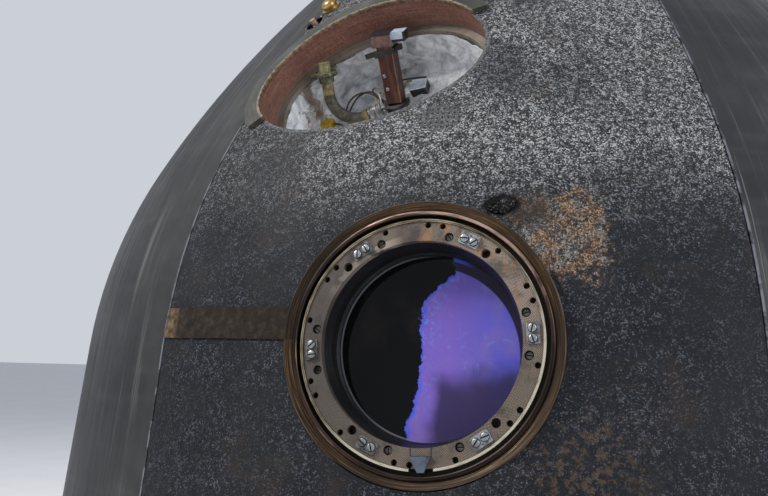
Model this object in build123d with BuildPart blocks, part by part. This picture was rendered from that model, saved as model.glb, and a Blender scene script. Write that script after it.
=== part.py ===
"""Descent capsule of a crewed spacecraft, as recovered and put on show.

Millimetres, +Z up. The origin is the centre of the base ring's underside.
Azimuth is counted from -Y, where the front window looks out, towards +X.
"""
from build123d import *
from math import acos, asin, cos, degrees, radians, sin, sqrt, tan
import os

os.makedirs("parts", exist_ok=True)

# Hull outline: a cone, a shoulder arc and a crown arc, tangent to each other
WINDOW_HEIGHT = 850.0
HULL_RADIUS = 985.0
CONE_ANGLE = 7.0
CONE_TOP = 836.0
SHOULDER_RADIUS = 943.0
SHOULDER_SLOPE = 30.1
CROWN_RADIUS = 2200.0

# Walls and clearances
PANEL_THICKNESS = 52.0
SHELL_THICKNESS = 10.0
FIT = 0.3
SEAM_GAP = 3.0
SEAM_AZIMUTH = 27.4
WELD_GAP = 0.6
SHELL_DEPTH = PANEL_THICKNESS + FIT
SHELL_INSIDE = SHELL_DEPTH + SHELL_THICKNESS

# Base ring and bottom bulkhead
BASE_RING_HEIGHT = 70.0
BASE_FLANGE_INSIDE = 955.0
BASE_FLANGE_THICKNESS = 14.0
BASE_BOLT_COUNT = 24
BASE_BOLT_CIRCLE = 978.0
BASE_BOLT_RADIUS = 7.0
BULKHEAD_LOW = 45.0
BULKHEAD_RIM_HEIGHT = 158.0
BULKHEAD_THICKNESS = 10.0
MOTOR_COUNT = 4
MOTOR_CIRCLE = 640.0
MOTOR_RADIUS = 75.0
MOTOR_LOW = 28.0
MOTOR_TOP = 132.0
NOZZLE_HOLE_RADIUS = 15.0
NOZZLE_HOLE_CIRCLE = 38.0
NOZZLE_HOLE_DEPTH = 34.0
ALTIMETER_RADIUS = 150.0
ALTIMETER_LOW = 30.0
ALTIMETER_EDGE = 4.0

# Cabin
FLOOR_HEIGHT = 232.0
FLOOR_THICKNESS = 12.0
SEAT_WIDTH = 420.0
SEAT_WALL = 35.0
SEAT_STEP = 470.0
SEAT_RAIL_MIDDLE = -115.0
SEAT_RAIL_LENGTH = 880.0
SEAT_RAIL_WIDTH = 40.0
SEAT_RAIL_HEIGHT = 62.0
CONSOLE_FACE = 520.0
CONSOLE_WIDTH = 640.0
CONSOLE_LOW = 880.0
CONSOLE_HIGH = 1180.0

# Hatch ring and hatch
RING_OUTSIDE = 400.0
RING_INSIDE = 325.0
RING_FLANGE_RADIUS = 416.0
RING_FLANGE_THICKNESS = 24.0
RING_SKIRT_INSIDE = 360.0
RING_SKIRT_DEPTH = 52.0
RING_BOLT_COUNT = 24
RING_BOLT_CIRCLE = 378.0
RING_BOLT_RADIUS = 4.5
RING_BOLT_DEPTH = 20.0
HATCH_SEAT_DEPTH = 69.0
HATCH_RADIUS = 350.0
HATCH_RIM_THICKNESS = 27.0
HATCH_RIM_WIDTH = 32.0
HATCH_PLATE_THICKNESS = 12.0
HATCH_DOME_RISE = 40.0
HINGE_X = -378.0
HINGE_DROP = 20.0
HINGE_PIN_RADIUS = 7.0
HINGE_RUNNING_FIT = 0.1
HINGE_EAR_RADIUS = 15.0
HINGE_EAR_THICKNESS = 14.0
HINGE_KNUCKLE_WIDTH = 70.0
HINGE_SIDE_GAP = 5.0
HINGE_PIN_OVERHANG = 6.0
HANDWHEEL_RADIUS = 62.0
HANDWHEEL_TUBE = 7.0
HANDWHEEL_DROP = 42.0
HANDWHEEL_HUB = 16.0
HANDWHEEL_SPOKE_WIDTH = 9.0
HANDWHEEL_SPOKE_THICKNESS = 8.0

# Windows
FRAME_RADIUS = 200.0
FRAME_FACE = -5.0
FRAME_BEVEL = 2.0
FRAME_BAND_DROP = 4.0
BEAD_CIRCLE = 183.0
BEAD_RADIUS = 4.0
GROOVE_HEIGHT = -17.0
LIP_RADIUS = 174.0
LIP_WIDTH = 3.5
LIP_HEIGHT = -7.0
LIP_GAP = 34.0
FRAME_SHELF_RADIUS = 150.0
PLATE_INSIDE = 143.0
PLATE_HEIGHT = -9.0
PLATE_THICKNESS = 12.0
CLIP_RADIUS = 157.0
CLIP_START = 5.0
CLIP_COUNT = 6
CLIP_LENGTH = 29.0
CLIP_WIDTH = 18.0
CLIP_THICKNESS = 2.5
CLIP_CORNER = 2.0
LARGE_HOLE_RADIUS = 6.6
LARGE_HOLE_CIRCLE = 152.0
LARGE_HOLE_OFFSET = 11.0
SMALL_HOLE_RADIUS = 4.4
SMALL_HOLE_CIRCLE = 165.5
SMALL_HOLE_ANGLES = (15.5, 23.0, 45.0)
GLASS_SEAT = -69.0
GLASS_CLEAR_RADIUS = 134.6
GLASS_RADIUS = 141.5
GLASS_THICKNESS = 14.0
THROAT_END = -95.0
THROAT_LAND = 6.0
THROAT_STEP_WIDTH = 3.0
THROAT_STEP_LOW = 10.0
THROAT_STEP_HIGH = 30.0
RETAINER_LIP = 4.0
LATCH_ANGLE = -86.4
LATCH_CIRCLE = 164.5
LATCH_LENGTH = 21.0
LATCH_TOP_WIDTH = 29.0
LATCH_END_WIDTH = 9.0
LATCH_THICKNESS = 5.0

# Scorched strap beside each window
STRAP_LOW = 850.0
STRAP_HIGH = 898.0
STRAP_PROUD = 3.0
STRAP_ARC = 26.0

# Sensor port above the front window, an ellipse cut along its own slanted axis
PORT_AZIMUTH = -11.8
PORT_HEIGHT = 1326.0
PORT_TILT = 29.4
PORT_ROLL = 6.6
PORT_HALF_WIDTH = 211.0
PORT_HALF_HEIGHT = 159.0
PORT_LINER = 6.0
PORT_LIP_WIDTH = 32.0
PORT_LIP_PROUD = 9.0
PORT_LIP_TURN = 25.5
PORT_LEDGE_WIDTH = 14.0
PORT_LEDGE_TOP = -75.0
PORT_LEDGE_BOTTOM = -84.0
PORT_WELL_WALL = 6.0
PORT_FLOOR = -170.0

# Fittings in the port's well, placed across it and up the slope
POST_WIDTH = 31.0
POST_CORNER = 4.0
POST_FOOT = (-16.0, 60.0)
POST_FOOT_LIFT = 13.0
POST_HEAD = (-2.5, 107.8)
POST_HEAD_HEIGHT = -63.0
POST_CLAMP_PLACE = 91.0
POST_CLAMP_TILT = 11.0
POST_CLAMP_HEIGHT = 9.0
POST_CLAMP_DEPTH = 10.0
POST_CLAMP_LEFT = -42.0
POST_CLAMP_RIGHT = 30.0
POST_CLAMP_TIP = 3.0
POST_CLAMP_WALL = 4.0
POST_CAP_SHIFT = -2.0
POST_CAP_WIDTH = 38.0
POST_CAP_LENGTH = 34.0
POST_CAP_HEIGHT = 24.0
POST_BLOCK_WIDTH = 24.0
POST_BLOCK_LENGTH = 26.0
POST_BLOCK_HEIGHT = 18.0
POST_BASE_RADIUS = 24.0
POST_BASE_HEIGHT = 16.0
HOSE_RADIUS = 11.0
HOSE_BEND = 50.0
HOSE_FLOOR_GAP = 3.0
HOSE_CORNER = (-137.0, 17.0)
HOSE_END = (-66.7, 36.3)
HOSE_PLUG_RADIUS = 12.5
HOSE_PLUG_LENGTH = 24.0
FITTING_PLACE = (-125.0, 74.0)
FITTING_HEIGHT = -72.0
FITTING_CAP_RADIUS = 10.5
FITTING_CAP_LENGTH = 18.0
FITTING_FLANGE_RADIUS = 21.0
FITTING_FLANGE_THICKNESS = 6.0
FITTING_NECK_RADIUS = 14.0
FITTING_NECK_LENGTH = 13.0
BRACKET_WIDTH = 16.0
BRACKET_THICKNESS = 4.0
BOX_CORNER = 3.0
BOXES = (
    # across, up the slope, width, length, height
    (27.0, 86.0, 34.0, 26.0, 20.0),
    (-160.0, 41.0, 26.0, 18.0, 14.0),
)

# Parachute bay above the rear window and reserve cover on the left rear panel
BAY_AZIMUTH = 180.0
BAY_HEIGHT = 1330.0
BAY_TILT = 33.0
BAY_HALF_WIDTH = 265.0
BAY_HALF_HEIGHT = 185.0
BAY_DEPTH = 300.0
BAY_WALL = 6.0
BAY_RING_WIDTH = 14.0
COVER_AZIMUTH = -121.3
COVER_HEIGHT = 1300.0
COVER_TILT = 32.0
COVER_HALF_WIDTH = 215.0
COVER_HALF_HEIGHT = 160.0
COVER_GAP = 3.0

# Small fittings
PERISCOPE_AZIMUTH = 58.7
PERISCOPE_HEIGHT = 1130.0
PERISCOPE_RADIUS = 75.0
PERISCOPE_LENS_RADIUS = 48.0
PERISCOPE_LENS_THICKNESS = 12.0
PERISCOPE_PROUD = 8.0
PERISCOPE_TUBE_WALL = 7.5
PERISCOPE_TUBE_LIP = 4.0
PERISCOPE_TUBE_LENGTH = 40.0
THRUSTER_RADIUS = 38.0
THRUSTER_MOUTH = 28.0
THRUSTER_THROAT = 9.0
THRUSTER_DEPTH = 46.0
THRUSTER_PROUD = 3.0
THRUSTER_END_WALL = 10.0
UMBILICAL_AZIMUTH = 121.3
UMBILICAL_HEIGHT = 430.0
UMBILICAL_WIDTH = 250.0
UMBILICAL_TALL = 170.0
UMBILICAL_RECESS = 22.0
UMBILICAL_PLATE = 12.0
UMBILICAL_CORNER = 20.0
PLUG_STEP = 78.0
PLUG_RADIUS = 30.0
PLUG_BORE = 24.0
PLUG_LENGTH = 14.0
VENT_AZIMUTH = -25.7
VENT_HEIGHT = 1494.0
VENT_RADIUS = 19.0
VENT_DEPTH = 17.0
VENT_PROUD = 3.0
VENT_DOME_RADIUS = 15.0
VENT_DOME_LENGTH = 16.0
VENT_DOME_ROUNDING = 10.0
SOCKET_AZIMUTH = -27.5
SOCKET_HEIGHT = 1463.0
SOCKET_RADIUS = 24.0
SOCKET_DEPTH = 25.0
SOCKET_SINK = 1.0
SOCKET_WALL = 5.0
SOCKET_RECESS = 16.0
SOCKET_PIN_RADIUS = 6.0
SOCKET_PIN_DEPTH = 20.0
SOCKET_PIN_LENGTH = 28.0

WINDOWS = (
    # name, azimuth
    ("front", 0.0),
    ("rear", 180.0),
)
PANELS = (
    # name, first azimuth, last azimuth
    ("front_panel", -SEAM_AZIMUTH, SEAM_AZIMUTH),
    ("right_front_panel", SEAM_AZIMUTH, 90.0),
    ("right_rear_panel", 90.0, 180.0 - SEAM_AZIMUTH),
    ("rear_panel", 180.0 - SEAM_AZIMUTH, 180.0 + SEAM_AZIMUTH),
    ("left_rear_panel", 180.0 + SEAM_AZIMUTH, 270.0),
    ("left_front_panel", 270.0, 360.0 - SEAM_AZIMUTH),
)
THRUSTERS = (
    # azimuth, height
    (104.0, 985.0),
    (104.0, 1085.0),
    (113.0, 1035.0),
    (256.0, 985.0),
    (256.0, 1085.0),
    (247.0, 1035.0),
)

# Ends of a tool that goes right through the wall, along the normal of its plane
THROUGH_LOW = -160.0
THROUGH_HIGH = 80.0


def cone_radius(height, depth=0.0):
    """Radius of the cone at a height, on the surface a depth inside the outer one."""
    slope = radians(CONE_ANGLE)
    return HULL_RADIUS + (WINDOW_HEIGHT - height) * tan(slope) - depth / cos(slope)


def polar(centre, radius, angle):
    """Point of a circle in the radial plane."""
    return (centre[0] + radius * cos(radians(angle)), centre[1] + radius * sin(radians(angle)))


SHOULDER_CENTRE = polar((cone_radius(CONE_TOP), CONE_TOP), -SHOULDER_RADIUS, CONE_ANGLE)
KNEE = polar(SHOULDER_CENTRE, SHOULDER_RADIUS, SHOULDER_SLOPE)
CROWN_CENTRE = polar(KNEE, -CROWN_RADIUS, SHOULDER_SLOPE)


def crown_angle(radius, depth=0.0):
    """Slope of the crown arc where it reaches a radius."""
    return degrees(acos((radius - CROWN_CENTRE[0]) / (CROWN_RADIUS - depth)))


def crown_height(radius, depth=0.0):
    """Height of the crown at a radius."""
    return CROWN_CENTRE[1] + (CROWN_RADIUS - depth) * sin(radians(crown_angle(radius, depth)))


def hull_radius(height):
    """Outer radius of the hull at a height."""
    if height < CONE_TOP:
        return cone_radius(height)
    below = height < KNEE[1]
    centre, radius = (SHOULDER_CENTRE, SHOULDER_RADIUS) if below else (CROWN_CENTRE, CROWN_RADIUS)
    return centre[0] + sqrt(radius ** 2 - (height - centre[1]) ** 2)


def hull_slope(height):
    """Angle of the outward normal above level at a height."""
    if height < CONE_TOP:
        return CONE_ANGLE
    below = height < KNEE[1]
    centre, radius = (SHOULDER_CENTRE, SHOULDER_RADIUS) if below else (CROWN_CENTRE, CROWN_RADIUS)
    return degrees(asin((height - centre[1]) / radius))


def radial_plane(azimuth):
    """Upright plane through the axis, its x axis pointing outwards at an azimuth."""
    a = radians(azimuth)
    return Plane(origin=(0, 0, 0), x_dir=(sin(a), -cos(a), 0), z_dir=(-cos(a), -sin(a), 0))


def hull_plane(azimuth, height, tilt=None, roll=0.0):
    """Plane on the outer surface, square to it unless a tilt above level is given."""
    tilt = hull_slope(height) if tilt is None else tilt
    a, t, r = radians(azimuth), radians(tilt), radians(roll)
    radius = hull_radius(height)
    normal = Vector(sin(a) * cos(t), -cos(a) * cos(t), sin(t))
    across = Vector(cos(a), sin(a), 0)
    return Plane(
        origin=(radius * sin(a), -radius * cos(a), height),
        x_dir=across * cos(r) + normal.cross(across) * sin(r),
        z_dir=normal,
    )


def wall_face(plane, outer, inner, bottom, top_radius):
    """Section of a wall between two depths, from a height up to a radius on the crown."""
    with BuildSketch(plane) as section:
        with BuildLine():
            for depth in (outer, inner):
                start = polar(SHOULDER_CENTRE, SHOULDER_RADIUS - depth, CONE_ANGLE)
                Line((cone_radius(bottom, depth), bottom), start)
                CenterArc(SHOULDER_CENTRE, SHOULDER_RADIUS - depth, CONE_ANGLE, SHOULDER_SLOPE - CONE_ANGLE)
                CenterArc(
                    CROWN_CENTRE, CROWN_RADIUS - depth, SHOULDER_SLOPE,
                    crown_angle(top_radius, depth) - SHOULDER_SLOPE,
                )
            Line((cone_radius(bottom, outer), bottom), (cone_radius(bottom, inner), bottom))
            Line(
                (top_radius, crown_height(top_radius, outer)),
                (top_radius, crown_height(top_radius, inner)),
            )
        make_face()
    return section.sketch


def hull_layer(outer, inner):
    """Full turn of the wall between two depths, used to give a piece the hull's curve."""
    with BuildPart() as layer:
        revolve(wall_face(Plane.XZ, outer, inner, BASE_RING_HEIGHT, RING_OUTSIDE), axis=Axis.Z)
    return layer.part


def oval_tool(plane, half_width, half_height, low, high):
    """Elliptical prism along a plane's normal between two heights over it."""
    with BuildPart() as tool:
        with BuildSketch(plane.offset(low)):
            Ellipse(half_width, half_height)
        extrude(amount=high - low)
    return tool.part


def oval_ring(plane, half_width, half_height, width, low, high):
    """Elliptical sleeve that reaches a width out from an oval."""
    with BuildPart() as ring:
        with BuildSketch(plane.offset(low)):
            Ellipse(half_width + width, half_height + width)
            Ellipse(half_width, half_height, mode=Mode.SUBTRACT)
        extrude(amount=high - low)
    return ring.part


def finish(part, name):
    """Label a finished piece and write it to its own file."""
    part.part.label = name
    export_step(part.part, f"parts/{name}.step")


window_planes = {name: hull_plane(azimuth, WINDOW_HEIGHT, CONE_ANGLE) for name, azimuth in WINDOWS}
port_plane = hull_plane(PORT_AZIMUTH, PORT_HEIGHT, PORT_TILT, PORT_ROLL)
bay_plane = hull_plane(BAY_AZIMUTH, BAY_HEIGHT, BAY_TILT)
cover_plane = hull_plane(COVER_AZIMUTH, COVER_HEIGHT, COVER_TILT)
periscope_plane = hull_plane(PERISCOPE_AZIMUTH, PERISCOPE_HEIGHT)
umbilical_plane = hull_plane(UMBILICAL_AZIMUTH, UMBILICAL_HEIGHT, CONE_ANGLE)
vent_plane = hull_plane(VENT_AZIMUTH, VENT_HEIGHT)
socket_plane = hull_plane(SOCKET_AZIMUTH, SOCKET_HEIGHT)
thruster_planes = [hull_plane(azimuth, height) for azimuth, height in THRUSTERS]

# Cuts that go through the outer panels
panel_cuts = [
    oval_tool(port_plane, PORT_HALF_WIDTH + PORT_LINER + FIT, PORT_HALF_HEIGHT + PORT_LINER + FIT,
              THROUGH_LOW, THROUGH_HIGH),
    oval_tool(bay_plane, BAY_HALF_WIDTH + BAY_RING_WIDTH + FIT, BAY_HALF_HEIGHT + BAY_RING_WIDTH + FIT,
              THROUGH_LOW, THROUGH_HIGH),
    oval_tool(cover_plane, COVER_HALF_WIDTH + COVER_GAP, COVER_HALF_HEIGHT + COVER_GAP,
              THROUGH_LOW, THROUGH_HIGH),
    oval_tool(periscope_plane, PERISCOPE_RADIUS + FIT, PERISCOPE_RADIUS + FIT, THROUGH_LOW, THROUGH_HIGH),
    oval_tool(vent_plane, VENT_RADIUS + FIT, VENT_RADIUS + FIT, -VENT_DEPTH - FIT, THROUGH_HIGH),
    oval_tool(socket_plane, SOCKET_RADIUS + FIT, SOCKET_RADIUS + FIT, -SOCKET_DEPTH - FIT, THROUGH_HIGH),
]
for plane in window_planes.values():
    panel_cuts.append(oval_tool(plane, FRAME_RADIUS + FIT, FRAME_RADIUS + FIT, THROUGH_LOW, THROUGH_HIGH))
for plane in thruster_planes:
    panel_cuts.append(
        oval_tool(plane, THRUSTER_RADIUS + FIT, THRUSTER_RADIUS + FIT, -THRUSTER_DEPTH - FIT, THROUGH_HIGH))
with BuildPart() as umbilical_recess:
    with BuildSketch(umbilical_plane.offset(-UMBILICAL_RECESS - UMBILICAL_PLATE)):
        RectangleRounded(UMBILICAL_WIDTH + 2 * FIT, UMBILICAL_TALL + 2 * FIT, UMBILICAL_CORNER)
    extrude(amount=THROUGH_HIGH)
panel_cuts.append(umbilical_recess.part)

# Outer heat protection panels
seam_half_angle = degrees(SEAM_GAP / 2 / HULL_RADIUS)
panel_bottom = BASE_RING_HEIGHT + SEAM_GAP
for name, first, last in PANELS:
    with BuildPart() as panel:
        plane = radial_plane(first + seam_half_angle)
        section = wall_face(plane, 0.0, PANEL_THICKNESS, panel_bottom, RING_OUTSIDE + FIT)
        revolve(section, axis=Axis.Z, revolution_arc=last - first - 2 * seam_half_angle)
        for cut in panel_cuts:
            add(cut, mode=Mode.SUBTRACT)
    finish(panel, name)

# Pressure hull, welded from six gores under the panels
periscope_tube_radius = PERISCOPE_LENS_RADIUS + PERISCOPE_TUBE_WALL
weld_half_angle = degrees(WELD_GAP / 2 / HULL_RADIUS)
with BuildPart() as pressure_hull:
    for name, first, last in PANELS:
        plane = radial_plane(first + weld_half_angle)
        section = wall_face(plane, SHELL_DEPTH, SHELL_INSIDE, BASE_RING_HEIGHT + FIT, RING_OUTSIDE + FIT)
        revolve(section, axis=Axis.Z, revolution_arc=last - first - 2 * weld_half_angle)
    for plane in window_planes.values():
        add(oval_tool(plane, FRAME_SHELF_RADIUS, FRAME_SHELF_RADIUS, THROUGH_LOW, THROUGH_HIGH),
            mode=Mode.SUBTRACT)
    add(oval_tool(port_plane, PORT_HALF_WIDTH + PORT_LINER + FIT, PORT_HALF_HEIGHT + PORT_LINER + FIT,
                  THROUGH_LOW, THROUGH_HIGH), mode=Mode.SUBTRACT)
    add(oval_tool(bay_plane, BAY_HALF_WIDTH, BAY_HALF_HEIGHT, THROUGH_LOW, THROUGH_HIGH),
        mode=Mode.SUBTRACT)
    add(oval_tool(periscope_plane, periscope_tube_radius + FIT, periscope_tube_radius + FIT,
                  THROUGH_LOW, THROUGH_HIGH), mode=Mode.SUBTRACT)
finish(pressure_hull, "pressure_hull")

# Base ring
with BuildPart() as base_ring:
    with BuildSketch(Plane.XZ):
        with BuildLine():
            Polyline(
                (BASE_FLANGE_INSIDE, 0),
                (cone_radius(0), 0),
                (cone_radius(BASE_RING_HEIGHT), BASE_RING_HEIGHT),
                (cone_radius(BASE_RING_HEIGHT, SHELL_INSIDE), BASE_RING_HEIGHT),
                (cone_radius(BASE_FLANGE_THICKNESS, SHELL_INSIDE), BASE_FLANGE_THICKNESS),
                (BASE_FLANGE_INSIDE, BASE_FLANGE_THICKNESS),
                close=True,
            )
        make_face()
    revolve(axis=Axis.Z)
    with BuildSketch():
        with PolarLocations(BASE_BOLT_CIRCLE, BASE_BOLT_COUNT):
            Circle(BASE_BOLT_RADIUS)
    extrude(amount=BASE_FLANGE_THICKNESS, mode=Mode.SUBTRACT)
finish(base_ring, "base_ring")

# Bottom bulkhead: a shallow dish welded into the pressure hull
rim_radius = cone_radius(BULKHEAD_RIM_HEIGHT, SHELL_INSIDE) - FIT
dish_rise = BULKHEAD_RIM_HEIGHT - BULKHEAD_LOW
dish_outside = (rim_radius ** 2 + dish_rise ** 2) / (2 * dish_rise)
dish_inside = dish_outside - BULKHEAD_THICKNESS


def dish_point(share, dish_radius):
    """Point of the dish, at a share of the way from the axis to the rim."""
    angle = asin(rim_radius / dish_outside) * share
    return (dish_radius * sin(angle), BULKHEAD_LOW + dish_outside - dish_radius * cos(angle))


with BuildPart() as bottom_bulkhead:
    with BuildSketch(Plane.XZ):
        with BuildLine():
            for radius in (dish_outside, dish_inside):
                ThreePointArc(dish_point(0, radius), dish_point(0.5, radius), dish_point(1, radius))
            for share in (0, 1):
                Line(dish_point(share, dish_outside), dish_point(share, dish_inside))
        make_face()
    revolve(axis=Axis.Z)
    with BuildSketch():
        with PolarLocations(MOTOR_CIRCLE, MOTOR_COUNT, start_angle=45):
            Circle(MOTOR_RADIUS + FIT)
    extrude(amount=BULKHEAD_RIM_HEIGHT, mode=Mode.SUBTRACT)
finish(bottom_bulkhead, "bottom_bulkhead")

# Landing motors, set through the bulkhead
with BuildPart() as landing_motors:
    with BuildSketch(Plane.XY.offset(MOTOR_LOW)):
        with PolarLocations(MOTOR_CIRCLE, MOTOR_COUNT, start_angle=45):
            Circle(MOTOR_RADIUS)
    extrude(amount=MOTOR_TOP - MOTOR_LOW)
    with BuildSketch(Plane.XY.offset(MOTOR_LOW)):
        with PolarLocations(MOTOR_CIRCLE, MOTOR_COUNT, start_angle=45):
            with PolarLocations(NOZZLE_HOLE_CIRCLE, 3):
                Circle(NOZZLE_HOLE_RADIUS)
    extrude(amount=NOZZLE_HOLE_DEPTH, mode=Mode.SUBTRACT)
finish(landing_motors, "landing_motors")

# Altimeter plate under the middle of the bulkhead
with BuildPart() as altimeter_plate:
    with BuildSketch(Plane.XY.offset(ALTIMETER_LOW)):
        Circle(ALTIMETER_RADIUS)
    extrude(amount=BULKHEAD_LOW - FIT - ALTIMETER_LOW)
    fillet(altimeter_plate.faces().sort_by(Axis.Z)[0].edges(), ALTIMETER_EDGE)
finish(altimeter_plate, "altimeter_plate")

# Cabin floor
with BuildPart() as cabin_floor:
    with BuildSketch(Plane.XY.offset(FLOOR_HEIGHT - FLOOR_THICKNESS)):
        Circle(cone_radius(FLOOR_HEIGHT, SHELL_INSIDE) - FIT)
    extrude(amount=FLOOR_THICKNESS)
finish(cabin_floor, "cabin_floor")

# Seats: three couches side by side, knees raised, on rails that stand on the floor
SEATS = (
    # name, place across the cabin
    ("left_seat", SEAT_STEP),
    ("centre_seat", 0.0),
    ("right_seat", -SEAT_STEP),
)
SEAT_OUTLINE = (
    # along the couch from the hips, height over the floor
    (-560.0, 60.0), (-560.0, 330.0), (-60.0, 170.0), (60.0, 170.0),
    (330.0, 430.0), (430.0, 330.0), (330.0, 60.0),
)
SEAT_HOLLOW = (
    # the same outline inside the side walls
    (-600.0, 300.0), (-60.0, 130.0), (60.0, 130.0), (330.0, 390.0),
    (470.0, 250.0), (700.0, 700.0), (-600.0, 700.0),
)
for name, across in SEATS:
    with BuildPart() as seat:
        plane = Plane(origin=(0, across, FLOOR_HEIGHT + FIT), x_dir=(1, 0, 0), z_dir=(0, -1, 0))
        with BuildSketch(plane):
            with BuildLine():
                Polyline(*SEAT_OUTLINE, close=True)
            make_face()
        extrude(amount=SEAT_WIDTH / 2, both=True)
        with BuildSketch(plane):
            with BuildLine():
                Polyline(*SEAT_HOLLOW, close=True)
            make_face()
        extrude(amount=SEAT_WIDTH / 2 - SEAT_WALL, both=True, mode=Mode.SUBTRACT)
        with BuildSketch(Plane.XY.offset(FLOOR_HEIGHT + FIT)):
            with Locations(
                (SEAT_RAIL_MIDDLE, across - SEAT_WIDTH / 3), (SEAT_RAIL_MIDDLE, across + SEAT_WIDTH / 3)
            ):
                Rectangle(SEAT_RAIL_LENGTH, SEAT_RAIL_WIDTH)
        extrude(amount=SEAT_RAIL_HEIGHT)
    finish(seat, name)

# Instrument console, carried by the pressure hull at the crew's feet
console_reach = HULL_RADIUS - CONSOLE_FACE
with BuildPart() as instrument_console:
    with BuildSketch(Plane.XY.offset(CONSOLE_LOW)):
        with Locations((CONSOLE_FACE + console_reach / 2, 0)):
            Rectangle(console_reach, CONSOLE_WIDTH)
    extrude(amount=CONSOLE_HIGH - CONSOLE_LOW)
    add(hull_layer(SHELL_INSIDE + FIT, console_reach + PANEL_THICKNESS), mode=Mode.INTERSECT)
finish(instrument_console, "instrument_console")

# Hatch ring
ring_flange_low = crown_height(RING_OUTSIDE) + FIT
ring_top = ring_flange_low + RING_FLANGE_THICKNESS
hatch_seat = ring_top - HATCH_SEAT_DEPTH
ring_bottom = hatch_seat - RING_SKIRT_DEPTH
with BuildPart() as hatch_ring:
    with BuildSketch(Plane.XZ):
        with BuildLine():
            Polyline(
                (RING_INSIDE, hatch_seat),
                (RING_SKIRT_INSIDE, hatch_seat),
                (RING_SKIRT_INSIDE, ring_bottom),
                (RING_OUTSIDE, ring_bottom),
                (RING_OUTSIDE, ring_flange_low),
                (RING_FLANGE_RADIUS, ring_flange_low),
                (RING_FLANGE_RADIUS, ring_top),
                (RING_INSIDE, ring_top),
                close=True,
            )
        make_face()
    revolve(axis=Axis.Z)
    with BuildSketch(Plane.XY.offset(ring_top)):
        with PolarLocations(RING_BOLT_CIRCLE, RING_BOLT_COUNT):
            Circle(RING_BOLT_RADIUS)
    extrude(amount=-RING_BOLT_DEPTH, mode=Mode.SUBTRACT)
finish(hatch_ring, "hatch_ring")

# Hinge ears and pin under the ring
hinge_height = ring_bottom - HINGE_DROP
hinge_plane = Plane(origin=(HINGE_X, 0, hinge_height), x_dir=(1, 0, 0), z_dir=(0, -1, 0))
ear_start = HINGE_KNUCKLE_WIDTH / 2 + HINGE_SIDE_GAP
ear_top = HINGE_DROP - FIT
pin_end = ear_start + HINGE_EAR_THICKNESS + HINGE_PIN_OVERHANG
with BuildPart() as hatch_hinge:
    for side in (ear_start, -ear_start - HINGE_EAR_THICKNESS):
        with BuildSketch(hinge_plane.offset(side)):
            Circle(HINGE_EAR_RADIUS)
            with Locations((0, ear_top / 2)):
                Rectangle(2 * HINGE_EAR_RADIUS, ear_top)
        extrude(amount=HINGE_EAR_THICKNESS)
    with BuildSketch(hinge_plane.offset(-pin_end)):
        Circle(HINGE_PIN_RADIUS)
    extrude(amount=2 * pin_end)
finish(hatch_hinge, "hatch_hinge")

# Hatch cover: a domed plate in a stiff rim, with the arm that hangs on the hinge pin
rim_top = hatch_seat - FIT
rim_low = rim_top - HATCH_RIM_THICKNESS
rim_inside = HATCH_RADIUS - HATCH_RIM_WIDTH
dome_radius = (rim_inside ** 2 + HATCH_DOME_RISE ** 2) / (2 * HATCH_DOME_RISE)


def dome_point(radius, lift):
    """Point of the cover's dome in the radial plane, its underside raised by a lift."""
    drop = dome_radius - sqrt(dome_radius ** 2 - radius ** 2)
    return (radius, rim_low + HATCH_DOME_RISE + lift - drop)


HINGE_ARM = (
    # out from the pin towards the middle, up from the pin
    (0.0, HINGE_EAR_RADIUS),
    (25.0, HINGE_EAR_RADIUS),
    (28.0, rim_low - hinge_height + 2.0),
    (58.0, rim_low - hinge_height + 2.0),
    (46.0, -5.0),
    (0.0, -HINGE_EAR_RADIUS),
)
with BuildPart() as hatch_cover:
    with BuildSketch(Plane.XZ):
        with BuildLine():
            ThreePointArc(dome_point(0, 0), dome_point(rim_inside / 2, 0), dome_point(rim_inside, 0))
            Polyline(
                dome_point(rim_inside, 0),
                (HATCH_RADIUS, rim_low),
                (HATCH_RADIUS, rim_top),
                (rim_inside, rim_top),
                dome_point(rim_inside, HATCH_PLATE_THICKNESS),
            )
            ThreePointArc(
                dome_point(rim_inside, HATCH_PLATE_THICKNESS),
                dome_point(rim_inside / 2, HATCH_PLATE_THICKNESS),
                dome_point(0, HATCH_PLATE_THICKNESS),
            )
            Line(dome_point(0, HATCH_PLATE_THICKNESS), dome_point(0, 0))
        make_face()
    revolve(axis=Axis.Z)
    with BuildSketch(hinge_plane.offset(-HINGE_KNUCKLE_WIDTH / 2)):
        Circle(HINGE_EAR_RADIUS)
        with BuildLine():
            Polyline(*HINGE_ARM, close=True)
        make_face()
    extrude(amount=HINGE_KNUCKLE_WIDTH)
    with BuildSketch(hinge_plane.offset(-HINGE_KNUCKLE_WIDTH / 2)):
        Circle(HINGE_PIN_RADIUS + HINGE_RUNNING_FIT)
    extrude(amount=HINGE_KNUCKLE_WIDTH, mode=Mode.SUBTRACT)
finish(hatch_cover, "hatch_cover")

# Handwheel under the cover
boss_top = rim_low + HATCH_DOME_RISE - FIT
wheel_height = boss_top - HANDWHEEL_DROP
with BuildPart() as hatch_handwheel:
    with BuildSketch(Plane.XZ):
        with Locations((HANDWHEEL_RADIUS, wheel_height)):
            Circle(HANDWHEEL_TUBE)
    revolve(axis=Axis.Z)
    with BuildSketch(Plane.XY.offset(wheel_height - HANDWHEEL_TUBE)):
        Circle(HANDWHEEL_HUB)
    extrude(amount=boss_top - wheel_height + HANDWHEEL_TUBE)
    with BuildSketch(Plane.XY.offset(wheel_height - HANDWHEEL_SPOKE_THICKNESS / 2)):
        Rectangle(2 * HANDWHEEL_RADIUS, HANDWHEEL_SPOKE_WIDTH)
        Rectangle(HANDWHEEL_SPOKE_WIDTH, 2 * HANDWHEEL_RADIUS)
    extrude(amount=HANDWHEEL_SPOKE_THICKNESS)
finish(hatch_handwheel, "hatch_handwheel")

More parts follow.
